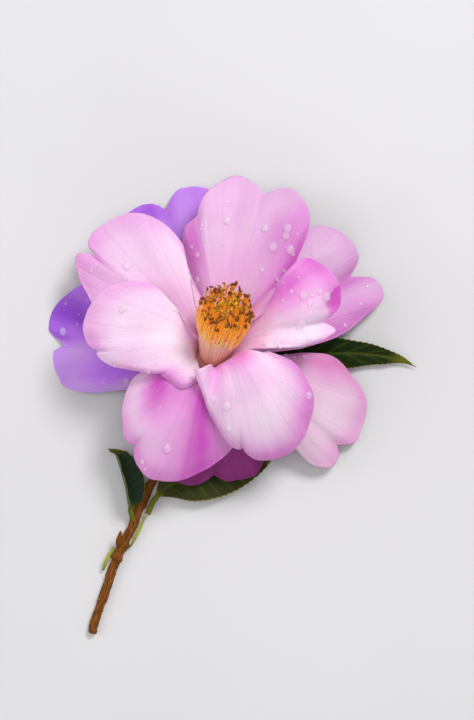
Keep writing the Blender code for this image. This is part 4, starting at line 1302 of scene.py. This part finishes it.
@dataclass(frozen=True)
class AntherFinish:
    """Ripe anther: brown dry lobes dusted with yellow pollen, rough and without gloss."""

    name: str = "anther"

    def make(self) -> bpy.types.Material:
        """Builds the material; pollen gathers in grains of about 0.3 mm."""
        material, tree, shader = new_surface(self.name)
        place = add(tree, "ShaderNodeTexCoord").outputs["Object"]
        patches = add(tree, "ShaderNodeTexNoise", {"Vector": place, "Scale": 620.0, "Detail": 2.0})
        grains = add(tree, "ShaderNodeTexNoise", {"Vector": place, "Scale": 3300.0, "Detail": 2.0})
        ripe = add(tree, "ShaderNodeMath",
                   {0: add(tree, "ShaderNodeAttribute", attribute_name="dust").outputs["Fac"], 1: 0.34,
                    2: -0.2}, operation="MULTIPLY_ADD").outputs[0]
        dust = add(tree, "ShaderNodeMath", {0: patches.outputs["Fac"], 1: 0.6, 2: ripe},
                   operation="MULTIPLY_ADD").outputs[0]
        tone = add(tree, "ShaderNodeMath", {0: grains.outputs["Fac"], 1: 0.45, 2: dust},
                   operation="MULTIPLY_ADD").outputs[0]
        stops = [(0.36, "#7A3E08"), (0.46, "#A8620E"), (0.54, "#D0981A"), (0.64, "#F6CE38")]
        tree.links.new(add(tree, "ShaderNodeValToRGB", {0: tone}, stops=stops).outputs["Color"],
                       shader.inputs["Base Color"])
        bump = add(tree, "ShaderNodeBump", {"Height": grains.outputs["Fac"], "Strength": 0.7,
            "Distance": 0.0002})
        tree.links.new(bump.outputs[0], shader.inputs["Normal"])
        shader.inputs["Roughness"].default_value = 0.85
        return material


@dataclass
class Heart:
    """The pistil inside the stamens and the receptacle with its stalk under the petals."""

    pedicel_radius: float = 1.6
    pedicel_end: float = -13.0
    flank_radius: float = 8.3

    def turned(self, place: Standpoint, profile: Sequence[tuple[float, float]], sides: int, wobble: float,
               seed: int) -> Shell:
        """A body turned round the flower's axis, a little uneven.

        Args:
            place: the flower's place.
            profile: (radius, height) pairs, bottom first.
            sides: points round it.
            wobble: how uneven, as a share of the radius.
            seed: which unevenness.
        Returns:
            The shell.
        """
        line = spline(np.array(profile), evenly_along(np.array(profile), 46))
        turn = 2 * np.pi * np.arange(sides) / sides
        uneven = 1 + wobble * waver(turn / (2 * np.pi), seed, 5, 3)[None] * np.ones((len(line), 1))
        r = line[:, :1] * uneven
        rings = np.stack([r * np.cos(turn), r * np.sin(turn), np.broadcast_to(line[:, 1:], r.shape)], -1)
        tint = np.linspace(0, 1, len(line))[:, None] * np.ones((1, sides))
        shell = tube_shell(rings, {"tint": tint})
        shell.points = place.seated(shell.points) + place.foot
        return shell

    def build(self, place: Standpoint) -> None:
        """Makes the receptacle, the pistil and its three stigmas.

        Args:
            place: the flower's place.
        """
        back = [(0.9 * self.pedicel_radius, self.pedicel_end), (self.pedicel_radius, -12.6),
                (self.pedicel_radius, -11.0), (2.6, -9.2), (5.2, -7.2), (7.4, -5.4)]
        shell = self.turned(place, [*back, (self.flank_radius, -4.1), (8.0, -2.8), (2.2, 3.0), (0.4, 3.1)],
                            60, 0.02, 3)
        green = TissueFinish("receptacle_green",
                             ((0.0, "#5B5A1E"), (0.48, "#7C8A3C"), (0.58, "#E3A6A0"), (1.0, "#F2B49C")),
                             0.5, 260.0, 0.1)
        present(shell.piece("flower_base", [green.make()]), "green_flesh", "receptacle")
        profile = [(1.5, 3.3), (2.1, 4.6), (2.1, 5.8), (1.6, 7.4), (0.8, 9.0), (0.6, 10.5), (0.55, 21.0),
                   (0.6, 23.0)]
        style = TissueFinish("style_green", ((0.0, "#A9B45C"), (0.4, "#C9CC84"), (1.0, "#E6D88A")), 0.4,
                             500.0, 0.25)
        finish = style.make()
        present(self.turned(place, profile, 28, 0.03, 4).piece("pistil_style", [finish]), "style", "pistil")
        for n in range(3):
            turn = math.radians(30 + 120 * n)
            way = np.array([math.cos(turn), math.sin(turn), 0])
            path = np.array([[0, 0, 21.5], way * 0.5 + [0, 0, 23.5], way * 1.3 + [0, 0, 25.4],
                             way * 2.6 + [0, 0, 26.6]])
            centre = place.seated(spline(path, np.linspace(0, 3, 14))) + place.foot
            side, up = across_path(centre)
            ring = 2 * np.pi * np.arange(10) / 10
            radius = np.interp(np.linspace(0, 1, 14), [0, 0.8, 0.93, 1], [0.42, 0.36, 0.5, 0.2])
            rings = centre[:, None] + radius[:, None,
                                             None] * (side[:, None] * np.cos(ring)[None, :, None] + up[:,
                                                 None] * np.sin(ring)[None, :, None])
            shell = tube_shell(rings, {"tint": np.linspace(0.5, 1, 14)[:, None]})
            present(shell.piece(f"stigma_{n + 1}", [finish]), "style")


@dataclass
class ScaleLeaf:
    """A sepal or bract: a cupped silky scale on a ring round the receptacle."""

    name: str
    node: str
    azimuth: float
    radius: float
    height: float
    lean: float
    length: float
    width: float
    curl: float
    seed: int

    def build(self, place: Standpoint, finish: bpy.types.Material) -> tuple[bpy.types.Object, Array]:
        """Makes the scale.

        Args:
            place: the flower's place.
            finish: its material.
        Returns:
            The piece, and its middle surface in the model's frame.
        """
        rows, columns = 30, 33
        u = np.linspace(0, 1, rows + 1)
        v = np.linspace(-1, 1, columns)
        angle = np.radians(self.lean + self.curl * u)
        step = self.length / rows
        r = self.radius + np.concatenate([[0], np.cumsum(np.sin(angle[:-1]) * step)])
        h = self.height + np.concatenate([[0], np.cumsum(np.cos(angle[:-1]) * step)])
        half = self.width / 2 * np.sqrt(np.maximum(1 - np.maximum(u - 0.35, 0) ** 2 / 0.43,
            0.02)) * (0.75 + 0.5 * u)
        half = half * (1 + 0.03 * waver(u, self.seed, 6, 3))
        turn = math.radians(self.azimuth) + v[None] * (half / np.maximum(r, 3))[:, None]
        grid = np.stack([r[:, None] * np.cos(turn), r[:, None] * np.sin(turn),
                         np.repeat(h[:, None], columns, 1)], -1)
        inward = -place.out(math.radians(self.azimuth)) @ place.axes
        grid = grid + inward * (0.05 * half[:, None] * v**2)[..., None]
        grid = place.seated(grid) + place.foot
        thickness = (0.62 - 0.4 * np.abs(v)[None] ** 2) * (1 - 0.45 * smooth_step(u * 2 - 1)[:, None])
        tint = 0.75 * u[:, None] + 0.25 * np.abs(v)[None] ** 3
        shell = sheet_shell(grid, thickness, {"tint": tint})
        return present(shell.piece(self.name, [finish]), "silky_scale", self.node), grid


@dataclass
class Calyx:
    """The five sepals and three bracts at the back, with their silky down."""

    sepals: tuple[tuple[float, float, float, float, float], ...] = (
        (73, 9.0, -4.0, 60, 10.5), (145, 9.0, -4.0, 86, 9.0), (214, 8.2, -6.6, 144, 6.3),
        (289, 8.4, -6.0, 148, 7.0), (1, 9.0, -4.0, 90, 9.5))
    bracts: tuple[tuple[float, float, float, float, float], ...] = ((110, 6.0, -7.8, 78, 6.0),
        (247, 5.2, -8.6, 128, 4.5), (350, 6.0, -7.8, 96, 6.5))

    def down_tree(self, finish: bpy.types.Material) -> bpy.types.NodeTree:
        """A tree that turns each point into one fine hair that lies along its direction."""
        tree = new_growth("down_growth", [("Hair Length", "NodeSocketFloat", 0.0009),
                                          ("Hair Radius", "NodeSocketFloat", 0.00003)])
        source, sink = tree.nodes["Group Input"], tree.nodes["Group Output"]
        hair = add(tree, "GeometryNodeMeshCone",
                   {"Vertices": 3, "Radius Top": 0.0, "Radius Bottom": source.outputs["Hair Radius"],
                    "Depth": source.outputs["Hair Length"]})
        turn = add(tree, "FunctionNodeAlignRotationToVector",
                   {"Vector": add(tree, "GeometryNodeInputNamedAttribute", {"Name": "lean"},
                                  data_type="FLOAT_VECTOR").outputs["Attribute"]}, axis="Z")
        planted = add(tree, "GeometryNodeInstanceOnPoints",
                      {"Points": source.outputs["Geometry"], "Instance": hair.outputs["Mesh"],
                       "Rotation": turn.outputs[0], "Scale": add(tree, "GeometryNodeInputNamedAttribute",
                           {"Name": "bulk"}, data_type="FLOAT").outputs["Attribute"]})
        solid = add(tree, "GeometryNodeRealizeInstances", {"Geometry": planted.outputs[0]})
        painted = add(tree, "GeometryNodeSetMaterial", {"Geometry": solid.outputs[0], "Material": finish})
        tree.links.new(painted.outputs[0], sink.inputs["Geometry"])
        return tree

    def build(self, place: Standpoint) -> None:
        """Makes the scales and their down.

        Args:
            place: the flower's place.
        """
        silk = TissueFinish("silky_scale", ((0.0, "#6E7440"), (0.45, "#9A9568"), (0.8, "#8C6E48"),
            (1.0, "#5E4024")), 0.6, 420.0, 0.05, 0.3)
        finish = silk.make()
        rng = np.random.default_rng(77)
        roots, ways, sizes = [], [], []
        kinds = [("sepal", row, 9.6, -8.0) for row in self.sepals] + [("bract", row, 6.4,
            -10.0) for row in self.bracts]
        numbers = {"sepal": 0, "bract": 0}
        for kind, (azimuth, radius, height, lean, length), width, curl in kinds:
            numbers[kind] += 1
            label = f"{kind}_{numbers[kind]}"
            scale = ScaleLeaf(f"silky_{label}", label, azimuth, radius, height, lean, length, width, curl,
                              90 + len(roots))
            _, grid = scale.build(place, finish)
            normal = unit(np.cross(np.gradient(grid, axis=1), np.gradient(grid, axis=0)))
            growth = unit(np.gradient(grid, axis=0))
            away = -1.0 if float((normal[15, 16] @ place.axes[:, 2])) > 0 else 1.0
            for _ in range(260):
                i, j = rng.integers(1, grid.shape[0] - 1), rng.integers(1, grid.shape[1] - 1)
                roots.append(grid[i, j] + away * normal[i, j] * 0.3)
                ways.append(unit(growth[i, j] + away * normal[i, j] * rng.uniform(0.15, 0.5) + rng.normal(0,
                    0.12, 3)))
                sizes.append(rng.uniform(0.6, 1.2))
        bed = seedbed_of("down_roots", np.array(roots), (), {"bulk": np.array(sizes)},
                         {"lean": np.array(ways)})
        hair = TissueFinish("silky_down", ((0.0, "#E9E4CF"), (1.0, "#F4F0E0")), 0.35, 900.0, 0.0)
        present(grown(bed, self.down_tree(hair.make()),
                      {"Hair Length": 1.3 * MM, "Hair Radius": 0.035 * MM}, "silky_down"), None)


# ---- leaves and twig -----------------------------------------------------------------------------
@dataclass
class Leaf:
    """A toothed blade with its stalk, grown in one."""

    name: str
    node: str
    path: list[Point]
    blade_from: float
    half_width: float
    fold: float
    tilt: tuple[float, float]
    finish: LeafFinish
    seed: int
    widest: float = 0.42
    taper: float = 0.85
    tooth_pitch: float = 1.7
    tooth_depth: float = 0.34

    STALK = 0.85
    THICKNESS = 0.45
    RINGS = 250
    SIDES = 60

    def outline(self, t: Array) -> Array:
        """Half the blade's width at a share of its length."""
        before = np.sin(np.pi / 2 * np.clip(t / self.widest, 0, 1)) ** 0.8
        after = np.cos(np.pi / 2 * np.clip((t - self.widest) / (1 - self.widest), 0, 1)) ** self.taper
        return self.half_width * np.where(t < self.widest, before, after)

    def build(self, place: Standpoint) -> bpy.types.Object:
        """Makes the leaf.

        Args:
            place: the flower's place.
        Returns:
            The piece.
        """
        knots = evenly_along(self.path, self.RINGS)
        share = np.linspace(0, 1, self.RINGS)
        centre = spline(self.path, knots)
        span = np.linalg.norm(np.diff(centre, axis=0), axis=1).sum() * (1 - self.blade_from)
        side, up = across_path(centre)
        t = np.clip((share - self.blade_from) / (1 - self.blade_from), 0, 1)
        stalk = self.STALK * (1 - 0.65 * smooth_step(t * 1.5))
        half = np.maximum(self.outline(t), np.where(t < 0.5, self.STALK, 0.12))
        thick = np.maximum(self.THICKNESS / 2,
                           stalk * (1 - 0.5 * smooth_step((half - self.STALK) / self.STALK)))
        thick = thick * (1 - 0.6 * smooth_step((t - 0.94) / 0.06))
        turn = 2 * np.pi * np.arange(self.SIDES) / self.SIDES
        reach = np.cos(turn)
        top = np.sin(turn) > 0
        blade = smooth_step((half - self.STALK) / 1.6)[:, None]
        phase = t * span / self.tooth_pitch
        tooth = (phase - np.floor(phase)) ** 1.6 * smooth_step((t - 0.12) / 0.1) * (1
            - smooth_step((t - 0.93) / 0.05))
        across = half[:, None] * reach + self.tooth_depth * tooth[:,
            None] * np.sign(reach) * np.abs(reach) ** 10 * blade
        lens = thick[:, None] * np.sin(turn) * (1 - 0.55 * blade * np.abs(reach) ** 2)
        keel = blade * np.abs(across) * math.tan(math.radians(self.fold))
        arch = -0.012 * blade * across**2
        wave = 0.35 * blade * np.abs(reach) ** 2 * waver(t, self.seed, 4, 2)[:, None]
        lateral = (t[:, None] - 0.16 * np.abs(reach) + 0.03 * np.abs(reach) ** 2) * 10
        near = np.abs(lateral - np.round(lateral))
        vein = bell(near, 0, 0.09) * (1 - smooth_step((np.abs(reach) - 0.75) / 0.25)) * blade
        rib = bell(across, 0, 0.42) * blade
        groove = np.where(top, -0.22, -0.5) * rib + np.where(top, -0.1, -0.06) * vein
        height = lens + keel + arch + wave + groove
        roll = np.radians(self.tilt[0] + (self.tilt[1] - self.tilt[0]) * t)[:, None]
        x = across * np.cos(roll) - height * np.sin(roll)
        y = across * np.sin(roll) + height * np.cos(roll)
        rings = centre[:, None] + side[:, None] * x[..., None] + up[:, None] * y[..., None] + place.foot
        stalky = 1 - blade
        patterns = {
            "vein": np.clip(0.9 * rib + 0.55 * vein + 0.8 * stalky, 0, 1),
            "rim": np.clip(smooth_step((np.abs(reach) - 0.955) / 0.045) * blade + 0.5 * stalky, 0, 1),
            "under": np.where(top, 0.0, 1.0)[None] * blade,
        }
        shell = tube_shell(rings, patterns)
        return present(shell.piece(self.name, [self.finish.make()]), "leaf", self.node)


@dataclass
class Twig:
    """The woody stem with its joints, its stub, thorn and green shoots."""

    radius: float = 1.4
    sides: int = 40
    rings: int = 520

    PATH = [(-8.5, -17.5, 3.9), (-12.8, -26, 2.8), (-17.5, -35.3, 2.2), (-20.1, -40.6, 2.0),
            (-22.8, -46, 1.8), (-24.5, -50.3, 1.7),
            (-26.4, -54.4, 1.8), (-28.0, -58.0, 1.9), (-30.5, -64, 1.7), (-33, -71, 1.5),
            (-34.8, -76.5, 1.5), (-36.6, -81.5, 1.5), (-37.2, -84.6, 1.5)]
    RADII = [1.6, 1.55, 1.5, 1.45, 1.4, 1.4, 1.45, 1.6, 1.4, 1.35, 1.65, 1.4, 1.35, 1.35, 1.35, 1.35]
    # Where a joint swells: (distance along from the flower as a share, swelling, length)
    JOINTS = [(0.33, 0.25, 0.008), (0.505, 0.42, 0.011), (0.66, 0.5, 0.012), (0.72, 0.3, 0.01),
              (0.86, 0.12, 0.02)]

    def build(self, place: Standpoint) -> None:
        """Makes the twig, the bud stub and both green pieces.

        Args:
            place: the flower's place.
        """
        bark = BarkFinish().make()
        start = [tuple(place.seated([0, 0, -13.0 - drop])) for drop in (0.05, 1.8, 4.2)]
        path = [*start, *self.PATH]
        knots = evenly_along(path, self.rings)
        centre = spline(path, knots)
        share = np.linspace(0, 1, self.rings)
        turn = 2 * np.pi * np.arange(self.sides) / self.sides
        radius = np.interp(knots, range(len(self.RADII)), self.RADII) * (1 + 0.04 * waver(share, 31, 14, 4))
        for at, swell, width in self.JOINTS:
            radius = radius + swell * bell(share, at, width)
        centre = centre + np.stack([0.3 * waver(share, 32, 5, 3), 0.2 * waver(share, 33, 5, 3),
                                    np.zeros(self.rings)], -1) * np.sin(np.pi * share)[:, None]
        side, up = across_path(centre)
        around = np.cos(turn)[None, :, None] * side[:, None] + np.sin(turn)[None, :, None] * up[:, None]
        skin = radius[:, None] * (1 + 0.05 * np.sin(3 * turn + 9 * share[:,
            None]) + 0.035 * np.sin(7 * turn - 14 * share[:, None]))
        length = share * np.linalg.norm(np.diff(centre, axis=0), axis=1).sum()
        surface = centre[:, None] + around * skin[..., None]
        skin = skin + 0.13 * lumps(surface, 34, 2.6) + 0.06 * lumps(surface * [1, 1, 1], 35, 1.1)
        spur = bell(share, 0.715, 0.006)[:, None] * bell(np.angle(np.exp(1j * (turn - math.radians(20)))),
            0, 0.42)[None]
        skin = skin + 1.5 * spur**1.2
        rounding = np.minimum(1, 0.82 + 0.18 * (1 - share) * self.rings / 3)[:, None] * np.minimum(1,
            0.85 + 0.15 * share * self.rings / 3)[:, None]
        rings = centre[:, None] + around * (skin * rounding)[..., None]
        rings[..., 2] = np.maximum(rings[..., 2], 0.12)
        patterns = {"length": length[:, None], "turn_x": np.cos(turn)[None], "turn_y": np.sin(turn)[None]}
        shell = tube_shell(rings + place.foot, patterns)
        slots = np.zeros(len(shell.faces), int)
        caps = np.array([len(f) == 3 for f in shell.faces])
        slots[caps] = 1
        cut = TissueFinish("cut_wood", ((0.0, "#D9C08C"), (1.0, "#C4A468")), 0.7, 900.0, 0.05, 0.6)
        present(shell.piece("woody_twig", [bark, cut.make()], slots), "bark", "twig")
        self.small_pieces(place, bark)

    def small_pieces(self, place: Standpoint, bark: bpy.types.Material) -> None:
        """Makes the bud stub, the side shoot and the stalk of a lost leaf.

        Args:
            place: the flower's place.
            bark: the twig's material.
        """
        green = TissueFinish("young_green", ((0.0, "#7E8A14"), (0.5, "#A8A81C"), (1.0, "#6F7A14")), 0.42,
                             500.0, 0.15).make()
        rows = [
            ("bud_stub", "stub", "bark", bark, [(-28.9, -57.2, 3.6), (-28.9, -56.2, 4.5),
                (-28.6, -54.8, 4.9), (-28.2, -52.6, 5.4)], [0.75, 0.85, 0.95, 0.75, 0.55, 0.2]),
            ("side_shoot", "shoot", "young_green", green,
             [(-21.0, -48.2, 2.7), (-22.0, -51.3, 2.4), (-23.9, -55.2, 2.0), (-25.6, -58.0, 1.6)],
             [0.25, 0.42, 0.5, 0.42, 0.25]),
            ("old_leaf_stalk", "broken_stalk", "young_green", green,
             [(-30.4, -57.8, 3.0), (-31.0, -58.9, 3.2), (-32.3, -61.0, 3.3), (-33.2, -63.4, 2.6),
              (-33.9, -65.2, 1.4)], [0.5, 0.5, 0.55, 0.5, 0.28]),
        ]
        for name, node, slot, finish, path, radii in rows:
            centre = spline(path, evenly_along(path, 60))
            share = np.linspace(0, 1, 60)
            turn = 2 * np.pi * np.arange(18) / 18
            radius = np.interp(share, np.linspace(0, 1, len(radii)),
                               radii) * (1 + 0.06 * waver(share, len(name), 8, 3))
            radius = radius * np.sqrt(np.clip(np.minimum(share, 1 - share) * 60 / 2.5 + 0.15, 0, 1))
            side, up = across_path(centre)
            around = np.cos(turn)[None, :, None] * side[:, None] + np.sin(turn)[None, :, None] * up[:, None]
            rings = centre[:, None] + around * radius[:, None, None]
            patterns = {"tint": share[:, None], "length": share[:, None] * 9, "turn_x": np.cos(turn)[None],
                        "turn_y": np.sin(turn)[None]}
            present(tube_shell(rings + place.foot, patterns).piece(name, [finish]), slot, node)


LEAVES = [
    Leaf(
        "right_leaf", "leaf_right",
        [(-3.6, -13.9, 5.2), (5, -9.6, 2.0), (15, -4, 2.2), (27, 0.5, 3.2), (38, 2.2, 3.8), (49, 1.8, 3.6),
         (58, 0.2, 2.4), (63, -2.2, 1.2)],
        0.2, 5.6, 12, (-25, -25), LeafFinish(name="right_leaf_green", dark="#0E2003", fresh="#1D3405"), 51,
        taper=1.12),
    Leaf(
        "lower_leaf", "leaf_lower",
        [(-20.0, -47.6, 2.4), (-17.5, -42.6, 3.0), (-12.5, -38.6, 3.2), (-4, -36, 3.2), (5, -34.2, 3.0),
         (12.5, -32.2, 2.6), (18.8, -30.2, 2.0)],
        0.14, 7.6, 8, (12, 4), LeafFinish(name="lower_leaf_olive", dark="#222A05", fresh="#383F09"), 52),
    Leaf(
        "left_leaf", "leaf_left",
        [(-24.6, -49.4, 2.4), (-25.3, -45.6, 4.2), (-26.2, -40.1, 4.9), (-27.8, -33.9, 5.0),
         (-29.7, -28.9, 4.2), (-32.2, -27.4, 2.6)],
        # its colour carries a painted bluish sheen
        0.1, 3.8, 50, (-45, -45), LeafFinish(name="left_leaf_painted_sheen", painted_sheen_amount=0.6), 53),
]


# ---- dew -----------------------------------------------------------------------------------------
@dataclass
class Dew:
    """Rain drops scattered over the petals: for each petal, a number of larger and of fine ones."""

    counts: dict[str, tuple[int, int]] = field(default_factory=lambda: {
        "inner_petal_top": (22, 34),
        "inner_petal_upper_left": (10, 18),
        "inner_petal_left": (12, 22),
        "outer_petal_left": (10, 18),
        "outer_petal_top": (4, 6),
        "inner_petal_curled": (16, 26),
        "outer_petal_right": (8, 22),
        "outer_petal_lower_right": (8, 16),
        "inner_petal_front": (6, 10),
        "inner_petal_lower_left": (4, 8),
    })
    large_width: tuple[float, float] = (0.8, 3.0)
    fine_width: tuple[float, float] = (0.25, 0.65)
    seed: int = 3

    def scattered(self, rng: np.random.Generator, large: int, fine: int) -> list[tuple[float, float, float]]:
        """Draws the drops of one petal.

        Args:
            rng: the random numbers.
            large: how many larger drops stand on the petal.
            fine: how many fine ones.
        Returns:
            For each drop, its share of the way across the petal and out along it, and its width.
        """
        least, most = self.large_width
        drops = []
        for _ in range(large):  # most of the larger drops are near the least width, a few are wide
            width = least + (most - least) * rng.uniform() ** 2.4
            drops.append((rng.uniform(0.14, 0.86), rng.uniform(0.58, 0.95), width))
        for _ in range(fine):
            drops.append((rng.uniform(0.1, 0.9), rng.uniform(0.3, 0.98) ** 0.6,
                          rng.uniform(*self.fine_width)))
        return drops

    def tree(self, finish: bpy.types.Material) -> bpy.types.NodeTree:
        """A tree that turns each point into one flattened drop."""
        tree = new_growth("dew_growth", [("Drop Width", "NodeSocketFloat", 0.001),
                                         ("Flatness", "NodeSocketFloat", 0.45)])
        source, sink = tree.nodes["Group Input"], tree.nodes["Group Output"]
        ball = add(tree, "GeometryNodeMeshUVSphere", {"Segments": 14, "Rings": 9, "Radius": 0.5})
        shape = add(tree, "ShaderNodeCombineXYZ",
                    {0: source.outputs["Drop Width"], 1: source.outputs["Drop Width"],
                     2: add(tree, "ShaderNodeMath", {0: source.outputs["Drop Width"],
                         1: source.outputs["Flatness"]}, operation="MULTIPLY").outputs[0]})
        flat = add(tree, "GeometryNodeTransform",
                   {"Geometry": ball.outputs["Mesh"], "Scale": shape.outputs[0]})
        turn = add(tree, "FunctionNodeAlignRotationToVector",
                   {"Vector": add(tree, "GeometryNodeInputNamedAttribute", {"Name": "lean"},
                                  data_type="FLOAT_VECTOR").outputs["Attribute"]}, axis="Z")
        planted = add(tree, "GeometryNodeInstanceOnPoints",
                      {"Points": source.outputs["Geometry"], "Instance": flat.outputs[0],
                       "Rotation": turn.outputs[0], "Scale": add(tree, "GeometryNodeInputNamedAttribute",
                           {"Name": "size"}, data_type="FLOAT_VECTOR").outputs["Attribute"]})
        solid = add(tree, "GeometryNodeRealizeInstances", {"Geometry": planted.outputs[0]})
        smooth = add(tree, "GeometryNodeSetShadeSmooth", {"Geometry": solid.outputs[0]})
        painted = add(tree, "GeometryNodeSetMaterial", {"Geometry": smooth.outputs[0], "Material": finish})
        tree.links.new(painted.outputs[0], sink.inputs["Geometry"])
        return tree

    def build(self, surfaces: dict[str, Array]) -> None:
        """Places the drops on the petals' faces.

        Args:
            surfaces: each petal's middle surface, by piece name.
        """
        rng = np.random.default_rng(self.seed)
        roots, ways, sizes = [], [], []
        for name, (large, fine) in self.counts.items():
            grid = surfaces[name]
            rays, steps = grid.shape[:2]
            normal = unit(np.cross(np.gradient(grid, axis=1), np.gradient(grid, axis=0)))
            normal = normal * np.sign(normal[..., 2:3].mean())
            for across, along, width in self.scattered(rng, large, fine):
                i, j = int(across * rays), int(along * steps)
                roots.append(grid[i, j] + normal[i, j] * (0.26 + 0.08 * width))
                ways.append(normal[i, j])
                sizes.append([width * rng.uniform(0.86, 1.0), width * rng.uniform(1.0, 1.2), width])
        bed = seedbed_of("dew_places", np.array(roots), (), None,
                         {"lean": np.array(ways), "size": np.array(sizes)})
        present(grown(bed, self.tree(WaterFinish().make()), {"Drop Width": 1.0 * MM, "Flatness": 0.6},
                      "dew_drops"), None)


# ---- studio --------------------------------------------------------------------------------------
@dataclass
class Studio:
    """The floor, soft lights and the camera that looks straight down."""

    LAMPS = (  # name, place and size in metres, power in watts
        ("key", (0.45, 0.62, 0.95), 0.4, 9.4),
        ("fill", (-0.7, 0.1, 0.7), 0.7, 2.3),
        ("low", (0.1, -0.9, 0.5), 0.6, 0.7),
        ("top", (0.0, 0.0, 1.3), 0.6, 3.0),
    )
    aim: tuple[float, float] = (7.6, 0.0)
    camera_height: float = 744.0
    lens: float = 120.0

    def build(self, place: Standpoint) -> None:
        """Sets up the stage.

        Args:
            place: the flower's place.
        """
        scene = bpy.context.scene
        mesh = bpy.data.meshes.new("floor")
        mesh.from_pydata([(-3, -3, 0), (3, -3, 0), (3, 3, 0), (-3, 3, 0)], [], [(0, 1, 2, 3)])
        mesh.materials.append(FloorFinish().make())
        floor = bpy.data.objects.new("floor", mesh)
        scene.collection.objects.link(floor)
        middle = (place.foot[:2] + np.array(self.aim)) * MM
        camera = bpy.data.cameras.new("camera")
        camera.lens = self.lens
        camera.clip_start = 0.01
        holder = bpy.data.objects.new("camera", camera)
        holder.location = (middle[0], middle[1], self.camera_height * MM)
        scene.collection.objects.link(holder)
        scene.camera = holder
        for name, where, size, power in self.LAMPS:
            light = bpy.data.lights.new(name, "AREA")
            light.shape = "DISK"
            light.size = size
            light.energy = power
            lamp = bpy.data.objects.new(name, light)
            lamp.location = Vector(where) + Vector((middle[0], middle[1], 0))
            lamp.rotation_euler = (Vector((middle[0], middle[1], 0.02)) - lamp.location).to_track_quat("-Z",
                "Y").to_euler()
            scene.collection.objects.link(lamp)
        world = bpy.data.worlds.new("studio_air")
        scene.world = world
        world.use_nodes = True
        world.node_tree.nodes["Background"].inputs["Color"].default_value = colour("#F2F1F4")
        world.node_tree.nodes["Background"].inputs["Strength"].default_value = 0.36
        scene.view_settings.view_transform = "Standard"


def main() -> None:
    """Builds the flower, the twig and the stage in order."""
    logging.basicConfig(level=logging.INFO, format="%(message)s")
    place = Standpoint()
    Studio().build(place)
    corolla = Corolla(PETALS)
    corolla.build(place)
    Stamens().build(place)
    Heart().build(place)
    Calyx().build(place)
    Twig().build(place)
    for leaf in LEAVES:
        leaf.build(place)
    Dew().build(corolla.surfaces)


if __name__ == "__main__":
    main()
